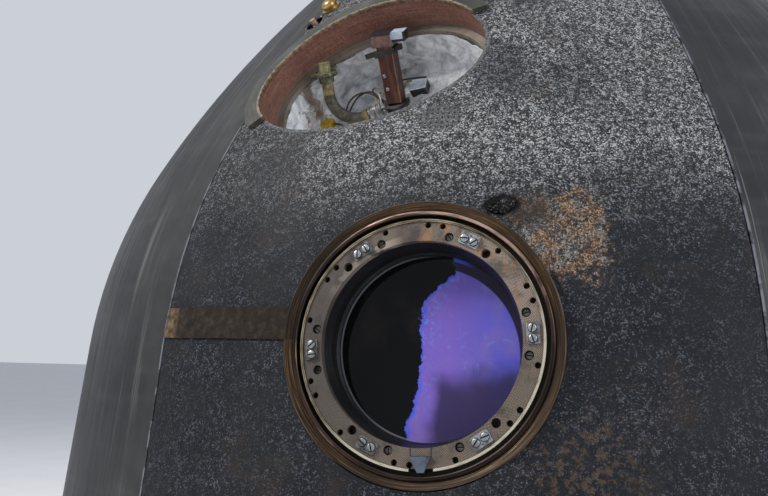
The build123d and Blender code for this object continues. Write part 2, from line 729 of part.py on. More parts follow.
# Windows
plate_low = PLATE_HEIGHT - PLATE_THICKNESS
shelf = plate_low - FIT
for name, azimuth in WINDOWS:
    plane = window_planes[name]
    a = radians(LATCH_ANGLE)
    outward = plane.x_dir * cos(a) + plane.y_dir * sin(a)
    latch_plane = Plane(
        origin=plane.origin + outward * LATCH_CIRCLE + plane.z_dir * (PLATE_HEIGHT + FIT),
        x_dir=plane.z_dir.cross(outward), z_dir=plane.z_dir,
    )
    turned = Plane(origin=plane.origin, x_dir=plane.x_dir, z_dir=-plane.y_dir)
    turning_axis = Axis(plane.origin, plane.z_dir)
    band_low = FRAME_FACE - FRAME_BAND_DROP
    groove_outside = BEAD_CIRCLE - BEAD_RADIUS
    with BuildPart() as window_frame:
        with BuildSketch(turned):
            with BuildLine():
                Polyline(
                    (BEAD_CIRCLE + BEAD_RADIUS, band_low),
                    (FRAME_RADIUS - FRAME_BEVEL, FRAME_FACE),
                    (FRAME_RADIUS, FRAME_FACE - FRAME_BEVEL),
                    (FRAME_RADIUS, -PANEL_THICKNESS),
                    (FRAME_SHELF_RADIUS, -PANEL_THICKNESS),
                    (FRAME_SHELF_RADIUS, shelf),
                    (LIP_RADIUS + FIT, shelf),
                    (LIP_RADIUS + FIT, GROOVE_HEIGHT),
                    (groove_outside, GROOVE_HEIGHT),
                    (groove_outside, band_low),
                )
                ThreePointArc(
                    (groove_outside, band_low),
                    (BEAD_CIRCLE, band_low + BEAD_RADIUS),
                    (BEAD_CIRCLE + BEAD_RADIUS, band_low),
                )
            make_face()
        revolve(axis=turning_axis)
    finish(window_frame, f"{name}_window_frame")

    with BuildPart() as window_lip:
        with BuildSketch(plane.offset(plate_low)):
            Circle(LIP_RADIUS)
            Circle(LIP_RADIUS - LIP_WIDTH, mode=Mode.SUBTRACT)
        extrude(amount=LIP_HEIGHT - plate_low)
        with BuildSketch(latch_plane.offset(plate_low - PLATE_HEIGHT - 2 * FIT)):
            Rectangle(LIP_GAP, 4 * LATCH_LENGTH)
        extrude(amount=PLATE_THICKNESS * 2, mode=Mode.SUBTRACT)
    finish(window_lip, f"{name}_window_lip")

    with BuildPart() as window_plate:
        with BuildSketch(plane.offset(plate_low)):
            Circle(LIP_RADIUS - LIP_WIDTH - FIT)
            Circle(PLATE_INSIDE, mode=Mode.SUBTRACT)
        extrude(amount=PLATE_THICKNESS)
        with BuildSketch(plane.offset(PLATE_HEIGHT)):
            for offset in (-LARGE_HOLE_OFFSET, LARGE_HOLE_OFFSET):
                with PolarLocations(LARGE_HOLE_CIRCLE, CLIP_COUNT, start_angle=CLIP_START + offset):
                    Circle(LARGE_HOLE_RADIUS)
            for angle in SMALL_HOLE_ANGLES:
                with PolarLocations(SMALL_HOLE_CIRCLE, CLIP_COUNT, start_angle=CLIP_START + angle):
                    Circle(SMALL_HOLE_RADIUS)
        extrude(amount=-PLATE_THICKNESS, mode=Mode.SUBTRACT)
    finish(window_plate, f"{name}_window_plate")

    with BuildPart() as window_throat:
        with BuildSketch(turned):
            with BuildLine():
                Polyline(
                    (PLATE_INSIDE, shelf),
                    (FRAME_SHELF_RADIUS - FIT, shelf),
                    (FRAME_SHELF_RADIUS - FIT, THROAT_END),
                    (GLASS_RADIUS + FIT, THROAT_END),
                    (GLASS_RADIUS + FIT, GLASS_SEAT),
                    (GLASS_CLEAR_RADIUS, GLASS_SEAT),
                    (GLASS_CLEAR_RADIUS, GLASS_SEAT + THROAT_LAND),
                    (GLASS_CLEAR_RADIUS + THROAT_STEP_WIDTH, GLASS_SEAT + THROAT_STEP_LOW),
                    (GLASS_CLEAR_RADIUS + THROAT_STEP_WIDTH, GLASS_SEAT + THROAT_STEP_HIGH),
                    close=True,
                )
            make_face()
        revolve(axis=turning_axis)
    finish(window_throat, f"{name}_window_throat")

    with BuildPart() as window_glass:
        with BuildSketch(plane.offset(GLASS_SEAT - FIT)):
            Circle(GLASS_RADIUS)
        extrude(amount=-GLASS_THICKNESS)
    finish(window_glass, f"{name}_window_glass")

    with BuildPart() as window_retainer:
        with BuildSketch(plane.offset(GLASS_SEAT - GLASS_THICKNESS - 2 * FIT)):
            Circle(GLASS_RADIUS)
            Circle(GLASS_CLEAR_RADIUS - RETAINER_LIP, mode=Mode.SUBTRACT)
        extrude(amount=THROAT_END - (GLASS_SEAT - GLASS_THICKNESS - 2 * FIT))
    finish(window_retainer, f"{name}_window_retainer")

    with BuildPart() as window_clips:
        with BuildSketch(plane.offset(PLATE_HEIGHT + FIT)):
            with PolarLocations(CLIP_RADIUS, CLIP_COUNT, start_angle=CLIP_START):
                RectangleRounded(CLIP_WIDTH, CLIP_LENGTH, CLIP_CORNER)
        extrude(amount=CLIP_THICKNESS)
    finish(window_clips, f"{name}_window_clips")

    with BuildPart() as window_latch:
        with BuildSketch(latch_plane):
            with BuildLine():
                Polyline(
                    (-LATCH_END_WIDTH / 2, -LATCH_LENGTH / 2), (LATCH_END_WIDTH / 2, -LATCH_LENGTH / 2),
                    (LATCH_TOP_WIDTH / 2, LATCH_LENGTH / 2), (-LATCH_TOP_WIDTH / 2, LATCH_LENGTH / 2),
                    close=True,
                )
            make_face()
        extrude(amount=LATCH_THICKNESS)
    finish(window_latch, f"{name}_window_latch")

    with BuildPart() as strap:
        section = wall_face(radial_plane(azimuth - SEAM_AZIMUTH + seam_half_angle), -STRAP_PROUD, -FIT,
                            BASE_RING_HEIGHT, RING_OUTSIDE)
        revolve(section, axis=Axis.Z, revolution_arc=STRAP_ARC)
        with BuildSketch(Plane.XY.offset(STRAP_LOW)):
            Circle(HULL_RADIUS + PANEL_THICKNESS)
        extrude(amount=STRAP_HIGH - STRAP_LOW, mode=Mode.INTERSECT)
        add(oval_tool(plane, FRAME_RADIUS + FIT, FRAME_RADIUS + FIT, THROUGH_LOW, THROUGH_HIGH),
            mode=Mode.SUBTRACT)
    finish(strap, f"{name}_strap")

# Sensor port: laminated wall of the cut, its outer lip and the metal ledge inside
with BuildPart() as port_liner:
    add(oval_ring(port_plane, PORT_HALF_WIDTH, PORT_HALF_HEIGHT, PORT_LINER,
                  PORT_LEDGE_TOP + FIT, THROUGH_HIGH))
    add(hull_layer(0.0, -PORT_FLOOR), mode=Mode.INTERSECT)
finish(port_liner, "port_liner")

with BuildPart() as port_lip:
    add(oval_ring(port_plane, PORT_HALF_WIDTH, PORT_HALF_HEIGHT, PORT_LIP_WIDTH, THROUGH_LOW, THROUGH_HIGH))
    add(hull_layer(-PORT_LIP_PROUD, -FIT), mode=Mode.INTERSECT)
    lip_turn = radians(PORT_LIP_TURN)
    split(bisect_by=Plane(origin=port_plane.origin, x_dir=port_plane.x_dir,
                          z_dir=port_plane.y_dir * cos(lip_turn) - port_plane.x_dir * sin(lip_turn)),
          keep=Keep.TOP)
finish(port_lip, "port_lip")

with BuildPart() as port_ledge:
    add(oval_ring(
        port_plane, PORT_HALF_WIDTH - PORT_LEDGE_WIDTH, PORT_HALF_HEIGHT - PORT_LEDGE_WIDTH,
        PORT_LEDGE_WIDTH + PORT_LINER, PORT_LEDGE_BOTTOM, PORT_LEDGE_TOP))
finish(port_ledge, "port_ledge")

well_low = PORT_FLOOR - PORT_WELL_WALL
with BuildPart() as port_well:
    add(oval_tool(port_plane, PORT_HALF_WIDTH - FIT, PORT_HALF_HEIGHT - FIT,
                  well_low, PORT_LEDGE_BOTTOM - FIT))
    add(oval_tool(port_plane, PORT_HALF_WIDTH - PORT_WELL_WALL, PORT_HALF_HEIGHT - PORT_WELL_WALL,
                  PORT_FLOOR, THROUGH_HIGH), mode=Mode.SUBTRACT)
finish(port_well, "port_well")


def port_point(x, y, h):
    """Point given in the port's own axes: across, up the slope, and out along its normal."""
    return port_plane.from_local_coords(Vector(x, y, h))


# Post that stands in the well, leaning up the slope
post_foot = port_point(*POST_FOOT, PORT_FLOOR + POST_FOOT_LIFT)
post_head = port_point(*POST_HEAD, POST_HEAD_HEIGHT)
post_plane = Plane(origin=post_foot, x_dir=port_plane.x_dir, z_dir=post_head - post_foot)
post_length = (post_head - post_foot).length
with BuildPart() as port_post:
    with BuildSketch(post_plane):
        RectangleRounded(POST_WIDTH, POST_WIDTH, POST_CORNER)
    extrude(amount=post_length)
finish(port_post, "port_post")

with BuildPart() as port_post_clamp:
    with BuildSketch(post_plane.offset(POST_CLAMP_PLACE).rotated((0, -POST_CLAMP_TILT, 0))):
        band = Rectangle(POST_WIDTH + 2 * POST_CLAMP_WALL, POST_WIDTH + 2 * POST_CLAMP_WALL)
        reach = band.bounding_box().min.X
        Polygon(
            (POST_CLAMP_LEFT, -POST_CLAMP_TIP / 2),
            (reach, -POST_CLAMP_DEPTH / 2),
            (POST_CLAMP_RIGHT, -POST_CLAMP_DEPTH / 2),
            (POST_CLAMP_RIGHT, POST_CLAMP_DEPTH / 2),
            (reach, POST_CLAMP_DEPTH / 2),
            (POST_CLAMP_LEFT, POST_CLAMP_TIP / 2),
            align=None,
        )
    extrude(amount=POST_CLAMP_HEIGHT)
    with BuildSketch(post_plane):
        RectangleRounded(POST_WIDTH + 2 * FIT, POST_WIDTH + 2 * FIT, POST_CORNER + FIT)
    extrude(amount=2 * post_length, mode=Mode.SUBTRACT)
finish(port_post_clamp, "port_post_clamp")

# The post's head and the block fixed to its side
block_middle = POST_CAP_SHIFT + (POST_CAP_WIDTH + POST_BLOCK_WIDTH) / 2
with BuildPart() as port_post_cap:
    with BuildSketch(post_plane.offset(post_length + FIT)):
        with Locations((POST_CAP_SHIFT, 0)):
            Rectangle(POST_CAP_WIDTH, POST_CAP_LENGTH)
    extrude(amount=POST_CAP_HEIGHT)
    with BuildSketch(post_plane.offset(post_length + FIT + POST_CAP_HEIGHT)):
        with Locations((block_middle, 0)):
            Rectangle(POST_BLOCK_WIDTH, POST_BLOCK_LENGTH)
    extrude(amount=-POST_BLOCK_HEIGHT)
finish(port_post_cap, "port_post_cap")

with BuildPart() as port_post_base:
    with BuildSketch(port_plane.offset(PORT_FLOOR + FIT)):
        with Locations(POST_FOOT):
            Circle(POST_BASE_RADIUS)
    extrude(amount=POST_BASE_HEIGHT)
    with BuildSketch(post_plane.offset(-FIT)):
        Circle(2 * POST_BASE_RADIUS)
    extrude(amount=post_length, mode=Mode.SUBTRACT)
finish(port_post_base, "port_post_base")

# Hose that hangs from its flanged fitting and turns along the floor to its plug
hose_level = PORT_FLOOR + HOSE_RADIUS + HOSE_FLOOR_GAP
fitting_centre = port_point(*FITTING_PLACE, FITTING_HEIGHT)
hose_corner = port_point(*HOSE_CORNER, hose_level)
hose_end = port_point(*HOSE_END, hose_level)
fitting_plane = Plane(origin=fitting_centre, z_dir=fitting_centre - hose_corner)
with BuildPart() as port_hose:
    with BuildLine():
        hose_start = fitting_centre - fitting_plane.z_dir * (FITTING_NECK_LENGTH + FIT)
        FilletPolyline(hose_start, hose_corner, hose_end, radius=HOSE_BEND)
    with BuildSketch(fitting_plane.offset(-FITTING_NECK_LENGTH - FIT)):
        Circle(HOSE_RADIUS)
    sweep()
finish(port_hose, "port_hose")

well_half_width = PORT_HALF_WIDTH - PORT_WELL_WALL
well_half_height = PORT_HALF_HEIGHT - PORT_WELL_WALL
neck_foot = port_plane.to_local_coords(hose_start)
bracket_side = neck_foot.X - BRACKET_WIDTH / 2
bracket_end = well_half_height * sqrt(1 - (bracket_side / well_half_width) ** 2) - 2 * FIT
with BuildPart() as port_hose_fitting:
    with BuildSketch(fitting_plane.offset(-FITTING_NECK_LENGTH)):
        Circle(FITTING_NECK_RADIUS)
    extrude(amount=FITTING_NECK_LENGTH)
    with BuildSketch(fitting_plane):
        Circle(FITTING_FLANGE_RADIUS)
    extrude(amount=FITTING_FLANGE_THICKNESS)
    with BuildSketch(fitting_plane.offset(FITTING_FLANGE_THICKNESS)):
        Circle(FITTING_CAP_RADIUS)
    extrude(amount=FITTING_CAP_LENGTH)
    bracket_start = neck_foot.Y + FITTING_NECK_RADIUS
    with BuildSketch(port_plane.offset(PORT_LEDGE_BOTTOM - 2 * FIT - BRACKET_THICKNESS)):
        with Locations((neck_foot.X, (bracket_start + bracket_end) / 2)):
            Rectangle(BRACKET_WIDTH, bracket_end - bracket_start)
    extrude(amount=BRACKET_THICKNESS)
finish(port_hose_fitting, "port_hose_fitting")

# Small boxes and plugs on the well's floor
with BuildPart() as port_connectors:
    for across, up, width, length, height in BOXES:
        with BuildSketch(port_plane.offset(PORT_FLOOR + FIT)):
            with Locations((across, up)):
                RectangleRounded(width, length, BOX_CORNER)
        extrude(amount=height)
    with BuildSketch(Plane(origin=hose_end, z_dir=hose_end - hose_corner).offset(FIT)):
        Circle(HOSE_PLUG_RADIUS)
    extrude(amount=HOSE_PLUG_LENGTH)
finish(port_connectors, "port_connectors")

# Vent fitting and its pin socket beyond the port
with BuildPart() as vent_fitting:
    with BuildSketch(vent_plane.offset(-VENT_DEPTH)):
        Circle(VENT_RADIUS)
    extrude(amount=VENT_DEPTH + VENT_PROUD)
    with BuildSketch(vent_plane.offset(VENT_PROUD)):
        Circle(VENT_DOME_RADIUS)
    extrude(amount=VENT_DOME_LENGTH)
    dome_top = vent_fitting.faces().sort_by(Axis(vent_plane.origin, vent_plane.z_dir))[-1]
    fillet(dome_top.edges(), VENT_DOME_ROUNDING)
finish(vent_fitting, "vent_fitting")

with BuildPart() as vent_socket:
    with BuildSketch(socket_plane.offset(-SOCKET_DEPTH)):
        Circle(SOCKET_RADIUS)
    extrude(amount=SOCKET_DEPTH - SOCKET_SINK)
    with BuildSketch(socket_plane.offset(-SOCKET_SINK)):
        Circle(SOCKET_RADIUS - SOCKET_WALL)
    extrude(amount=-SOCKET_RECESS, mode=Mode.SUBTRACT)
    with BuildSketch(socket_plane.offset(-SOCKET_PIN_DEPTH)):
        Circle(SOCKET_PIN_RADIUS)
    extrude(amount=SOCKET_PIN_LENGTH)
finish(vent_socket, "vent_socket")

# Main parachute bay, empty, with its ring
with BuildPart() as bay_ring:
    add(oval_ring(bay_plane, BAY_HALF_WIDTH, BAY_HALF_HEIGHT, BAY_RING_WIDTH, THROUGH_LOW, THROUGH_HIGH))
    add(hull_layer(0.0, PANEL_THICKNESS), mode=Mode.INTERSECT)
finish(bay_ring, "parachute_bay_ring")

with BuildPart() as bay_can:
    add(oval_tool(bay_plane, BAY_HALF_WIDTH - FIT, BAY_HALF_HEIGHT - FIT,
                  -BAY_DEPTH - BAY_WALL, -PANEL_THICKNESS))
    add(oval_tool(bay_plane, BAY_HALF_WIDTH - BAY_WALL, BAY_HALF_HEIGHT - BAY_WALL,
                  -BAY_DEPTH, THROUGH_HIGH),
        mode=Mode.SUBTRACT)
finish(bay_can, "parachute_can")

# Reserve parachute cover
with BuildPart() as reserve_cover:
    add(oval_tool(cover_plane, COVER_HALF_WIDTH, COVER_HALF_HEIGHT, THROUGH_LOW, THROUGH_HIGH))
    add(hull_layer(0.0, PANEL_THICKNESS), mode=Mode.INTERSECT)
finish(reserve_cover, "reserve_cover")

# Periscope port
with BuildPart() as periscope_housing:
    with BuildSketch(periscope_plane.offset(-PANEL_THICKNESS)):
        Circle(PERISCOPE_RADIUS)
        Circle(PERISCOPE_LENS_RADIUS, mode=Mode.SUBTRACT)
    extrude(amount=PANEL_THICKNESS + PERISCOPE_PROUD)
    with BuildSketch(periscope_plane.offset(-PANEL_THICKNESS)):
        Circle(periscope_tube_radius)
        Circle(PERISCOPE_LENS_RADIUS - PERISCOPE_TUBE_LIP, mode=Mode.SUBTRACT)
    extrude(amount=-PERISCOPE_TUBE_LENGTH)
finish(periscope_housing, "periscope_housing")

with BuildPart() as periscope_lens:
    with BuildSketch(periscope_plane.offset(-PANEL_THICKNESS + FIT)):
        Circle(PERISCOPE_LENS_RADIUS - FIT)
    extrude(amount=PERISCOPE_LENS_THICKNESS)
finish(periscope_lens, "periscope_lens")

# Thruster nozzles
with BuildPart() as thruster_nozzles:
    for plane in thruster_planes:
        with BuildSketch(plane.offset(-THRUSTER_DEPTH)):
            Circle(THRUSTER_RADIUS)
        extrude(amount=THRUSTER_DEPTH + THRUSTER_PROUD)
    for plane in thruster_planes:
        with BuildSketch(plane.offset(THRUSTER_PROUD)):
            Circle(THRUSTER_MOUTH)
        with BuildSketch(plane.offset(THRUSTER_PROUD + THRUSTER_END_WALL - THRUSTER_DEPTH)):
            Circle(THRUSTER_THROAT)
        loft(mode=Mode.SUBTRACT)
finish(thruster_nozzles, "thruster_nozzles")

# Umbilical plate
with BuildPart() as umbilical_plate:
    with BuildSketch(umbilical_plane.offset(-UMBILICAL_RECESS - UMBILICAL_PLATE + FIT)):
        RectangleRounded(UMBILICAL_WIDTH, UMBILICAL_TALL, UMBILICAL_CORNER)
    extrude(amount=UMBILICAL_PLATE)
    with BuildSketch(umbilical_plane.offset(-UMBILICAL_RECESS)):
        with GridLocations(PLUG_STEP, 0, 3, 1):
            Circle(PLUG_RADIUS)
            Circle(PLUG_BORE, mode=Mode.SUBTRACT)
    extrude(amount=PLUG_LENGTH)
finish(umbilical_plate, "umbilical_plate")
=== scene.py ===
"""Looks of the descent capsule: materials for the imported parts, and the small parts that only show."""

from contextlib import contextmanager
from math import asin, cos, pi, radians, sin, sqrt, tan

import bmesh
import bpy
from mathutils import Matrix, Vector


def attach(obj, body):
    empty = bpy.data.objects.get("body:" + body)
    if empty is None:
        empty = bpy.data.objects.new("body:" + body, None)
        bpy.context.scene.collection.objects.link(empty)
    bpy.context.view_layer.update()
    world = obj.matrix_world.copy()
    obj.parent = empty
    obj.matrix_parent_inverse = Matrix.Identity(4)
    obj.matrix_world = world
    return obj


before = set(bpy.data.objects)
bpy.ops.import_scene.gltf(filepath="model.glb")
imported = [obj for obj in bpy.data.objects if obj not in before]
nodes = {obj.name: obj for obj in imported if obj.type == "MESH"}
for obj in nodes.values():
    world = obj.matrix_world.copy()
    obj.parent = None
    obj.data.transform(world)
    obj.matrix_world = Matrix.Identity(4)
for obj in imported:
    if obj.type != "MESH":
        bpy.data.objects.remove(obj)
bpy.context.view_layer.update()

# Hull outline and planes, as the CAD has them, in metres
WINDOW_HEIGHT, HULL_RADIUS, CONE_ANGLE, CONE_TOP = 0.85, 0.985, radians(7), 0.836
SHOULDER_RADIUS, SHOULDER_SLOPE, CROWN_RADIUS = 0.943, radians(30.1), 2.2
COVER_CROWN = 1.7367


def polar(centre, radius, angle):
    return centre[0] + radius * cos(angle), centre[1] + radius * sin(angle)


def cone_radius(height):
    return HULL_RADIUS + (WINDOW_HEIGHT - height) * tan(CONE_ANGLE)


SHOULDER_CENTRE = polar((cone_radius(CONE_TOP), CONE_TOP), -SHOULDER_RADIUS, CONE_ANGLE)
KNEE = polar(SHOULDER_CENTRE, SHOULDER_RADIUS, SHOULDER_SLOPE)
CROWN_CENTRE = polar(KNEE, -CROWN_RADIUS, SHOULDER_SLOPE)


def hull_arc(height):
    return (SHOULDER_CENTRE, SHOULDER_RADIUS) if height < KNEE[1] else (CROWN_CENTRE, CROWN_RADIUS)


def hull_radius(height):
    if height < CONE_TOP:
        return cone_radius(height)
    centre, radius = hull_arc(height)
    return centre[0] + sqrt(radius ** 2 - (height - centre[1]) ** 2)


def hull_slope(height):
    if height < CONE_TOP:
        return CONE_ANGLE
    centre, radius = hull_arc(height)
    return asin((height - centre[1]) / radius)


class Place:
    """A plane on the hull, or at a radius of its own: origin, across, up the slope and outward."""

    def __init__(self, azimuth, height, tilt=None, roll=0.0, radius=None):
        a, r = radians(azimuth), radians(roll)
        t = hull_slope(height) if tilt is None else radians(tilt)
        out = hull_radius(height) if radius is None else radius
        self.n = Vector((sin(a) * cos(t), -cos(a) * cos(t), sin(t)))
        across = Vector((cos(a), sin(a), 0.0))
        self.x = across * cos(r) + self.n.cross(across) * sin(r)
        self.y = self.n.cross(self.x)
        self.o = Vector((out * sin(a), -out * cos(a), height))

    def point(self, x, y, h):
        return self.o + self.x * x + self.y * y + self.n * h

    def matrix(self, x=0.0, y=0.0, h=0.0, turn=0.0):
        m = Matrix((self.x, self.y, self.n)).transposed().to_4x4()
        m.translation = self.point(x, y, h)
        return m @ Matrix.Rotation(turn, 4, "Z")

    def spot(self, radius, angle, h, turn=0.0):
        """Matrix at an angle round the normal, turned by the angle and more."""
        return self.matrix(radius * cos(angle), radius * sin(angle), h, angle + turn)

    def ring(self, radius, count, h, first=0.0):
        """Matrices evenly round the normal, the first at an angle in degrees."""
        return [self.spot(radius, radians(first + 360 * k / count), h) for k in range(count)]


class Leaning(Place):
    """A frame at a point of a place, whose outward axis points at a second point."""

    def __init__(self, base, foot, head):
        self.o = base.point(*foot)
        self.n = (base.point(*head) - self.o).normalized()
        self.x = (base.x - self.n * base.x.dot(self.n)).normalized()
        self.y = self.n.cross(self.x)


WINDOWS = {"front": Place(0.0, WINDOW_HEIGHT, 7), "rear": Place(180, WINDOW_HEIGHT, 7)}
PORT = Place(-11.8, 1.326, 29.4, 6.6)
BAY = Place(180, 1.33, 33)
VENT_SOCKET = Place(-27.5, 1.463)
PERISCOPE = Place(58.7, 1.13)
UMBILICAL = Place(121.3, 0.43, 7)
HATCH = Place(0.0, COVER_CROWN, 90, radius=0.0)
POST = Leaning(PORT, (-0.016, 0.06, -0.157), (-0.0025, 0.1078, -0.063))
FITTING_FOOT, FITTING_HEAD = (-0.137, 0.017, -0.156), (-0.125, 0.074, -0.072)
FITTING = Leaning(PORT, FITTING_FOOT, FITTING_HEAD)
HOSE_RUN = Leaning(PORT, (-0.0667, 0.0363, -0.156), (0.0036, 0.0556, -0.156))

# Camera at the photograph's place
CAMERA_PLACE, FOCAL_LENGTH, SENSOR_WIDTH = (0.32, -2.189, 0.838), 42.57, 36
yaw, pitch, roll = radians(-17.07), radians(6.349), radians(1.018)
forward = Vector((sin(yaw) * cos(pitch), cos(yaw) * cos(pitch), sin(pitch)))
right = Vector((cos(yaw), -sin(yaw), 0.0))
up = right.cross(forward)
cam_x = right * cos(roll) + up * sin(roll)
cam_y = up * cos(roll) - right * sin(roll)
camera_data = bpy.data.cameras.new("camera")
camera_data.sensor_width = SENSOR_WIDTH
camera_data.lens = FOCAL_LENGTH
camera = bpy.data.objects.new("camera", camera_data)
turned = Matrix((cam_x, cam_y, -forward)).transposed().to_4x4()
camera.matrix_world = Matrix.Translation(CAMERA_PLACE) @ turned
bpy.context.scene.collection.objects.link(camera)
bpy.context.scene.camera = camera


def adjust(item, settings):
    for key, value in settings.items():
        setattr(item, key, value)
    return item


class Value:
    """A node's output. Arithmetic on it adds the nodes that work it out."""

    def __init__(self, graph, socket):
        self.graph, self.socket = graph, socket

    def __add__(self, other):
        return self.graph.math("ADD", self, other)

    def __sub__(self, other):
        return self.graph.math("SUBTRACT", self, other)

    def __rsub__(self, other):
        return self.graph.math("SUBTRACT", other, self)

    def __mul__(self, other):
        return self.graph.math("MULTIPLY", self, other)

    def __truediv__(self, other):
        return self.graph.math("DIVIDE", self, other)

    def __abs__(self):
        return self.graph.math("ABSOLUTE", self)


class Graph:
    """A material's nodes. Each method adds what it needs and returns an output as a Value."""

    def __init__(self, name, **sockets):
        self.material = bpy.data.materials.new(name)
        self.material.use_nodes = True
        self.tree = self.material.node_tree
        self.shader = self.tree.nodes["Principled BSDF"]
        for key, value in sockets.items():
            self.shader.inputs[key.replace("_", " ")].default_value = value
        self.place = self.node("ShaderNodeTexCoord", out="Object")

    def put(self, socket, value):
        if isinstance(value, Value):
            self.tree.links.new(value.socket, socket)
        elif isinstance(value, tuple) and len(value) == 3 and len(socket.default_value) == 4:
            socket.default_value = (*value, 1.0)
        elif value is not None:
            socket.default_value = value

    def node(self, kind, inputs=None, out=0, **settings):
        """Adds a node with its settings and inputs, and returns one of its outputs."""
        node = adjust(self.tree.nodes.new(kind), settings)
        for key, value in (inputs or {}).items():
            self.put(node.inputs[key], value)
        return Value(self, node.outputs[out])

    def math(self, operation, a, b=0.0):
        return self.node("ShaderNodeMath", {0: a, 1: b}, operation=operation)

    def vector(self, operation, a, b=(0.0, 0.0, 0.0)):
        inputs = {0: a, ("Scale" if operation == "SCALE" else 1): b}
        out = "Value" if operation in ("DOT_PRODUCT", "LENGTH") else 0
        return self.node("ShaderNodeVectorMath", inputs, out, operation=operation)

    def join(self, x, y, z=0.0):
        return self.node("ShaderNodeCombineXYZ", {0: x, 1: y, 2: z})

    def length(self, x, y):
        return self.vector("LENGTH", self.join(x, y))

    def split(self, vector):
        node = self.node("ShaderNodeSeparateXYZ", {0: vector}).socket.node
        return [Value(self, output) for output in node.outputs]

    def local(self, place):
        """Across, up the slope and outward of a plane, in metres."""
        offset = self.vector("SUBTRACT", self.place, place.o)
        return [self.vector("DOT_PRODUCT", offset, axis) for axis in (place.x, place.y, place.n)]

    def ring(self, place):
        """Radius and angle round a plane's normal, and the height over it."""
        x, y, h = self.local(place)
        return self.math("SQRT", x * x + y * y), self.math("ARCTAN2", y, x), h

    def azimuth(self):
        """Angle round the hull's axis from its front, and the height."""
        x, y, z = self.split(self.place)
        return self.math("ARCTAN2", x, y * -1.0), z

    def noise(self, scale, detail=3, rough=0.55, vector=None, distortion=0.0):
        return self.node("ShaderNodeTexNoise", {
            "Vector": vector or self.place, "Scale": scale, "Detail": detail, "Roughness": rough,
            "Distortion": distortion}, "Fac")

    def streaks(self, detail, rough, x, y, z=0.0):
        """Noise drawn out along directions that have small scales."""
        return self.noise(1.0, detail, rough, self.join(x, y, z))

    def cells(self, scale, feature="F1", out="Distance"):
        return self.node("ShaderNodeTexVoronoi", {"Vector": self.place, "Scale": scale}, out, feature=feature)

    def ramp(self, value, *stops):
        """Colour that follows a value through stops of position, red, green and blue."""
        colour = self.node("ShaderNodeValToRGB", {0: value})
        elements = colour.socket.node.color_ramp.elements
        while len(elements) < len(stops):
            elements.new(0.5)
        for element, (position, *tone) in zip(elements, stops):
            element.position = position
            element.color = (*tone, 1.0)
        return colour

    def span(self, value, low, high, out_low=0.0, out_high=1.0, kind="SMOOTHSTEP"):
        return self.node("ShaderNodeMapRange", {
            "Value": value, "From Min": low, "From Max": high, "To Min": out_low, "To Max": out_high},
            interpolation_type=kind)

    def step(self, value, low, high):
        """Straight and narrow change from 0 to 1."""
        return self.span(value, low, high, kind="LINEAR")

    def mix(self, share, a, b):
        return self.node("ShaderNodeMix", {0: share, 6: a, 7: b}, 2, data_type="RGBA")

    def blend(self, value, low, high, a, b):
        """Colour that goes from a to b while a value goes from low to high."""
        return self.mix(self.span(value, low, high), a, b)

    def bump(self, height, distance, strength=1.0, under=None):
        return self.node("ShaderNodeBump", {
            "Strength": strength, "Distance": distance, "Height": height, "Normal": under})

    def done(self, colour, rough=None, normal=None):
        for key, value in (("Base Color", colour), ("Roughness", rough), ("Normal", normal)):
            self.put(self.shader.inputs[key], value)
        return self.material

    def worn(self, colour, grain, rough_low, rough_high, distance=0.0003, strength=0.5, under=None):
        """The material, with roughness and bump that follow one grain."""
        rough = self.span(grain, 0.3, 0.7, rough_low, rough_high)
        return self.done(colour, rough, self.bump(grain, distance, strength, under))


def coat(item, *materials):
    item.data.materials.clear()
    for material in materials:
        item.data.materials.append(material)


def dress(material, *names):
    """Give CAD nodes a material."""
    for name in names:
        coat(nodes[name], material)


def both(pattern):
    return [pattern.format(name) for name in WINDOWS]


GRAINS_PER_METRE = 470
DRILLED_PER_METRE = 115


def patch(g, flat, centre, reach, edge=0.45, wobble=0.35, scale=24):
    """Ragged oval on a plane: 1 inside it and 0 outside."""
    offset = g.vector("DIVIDE", g.vector("SUBTRACT", flat, (*centre, 0.0)), (*reach, 1.0))
    ragged = (g.noise(scale, 4, 0.65) - 0.5) * (2 * wobble)
    return g.span(g.vector("LENGTH", offset) + ragged, 1.0, 1.0 - edge)


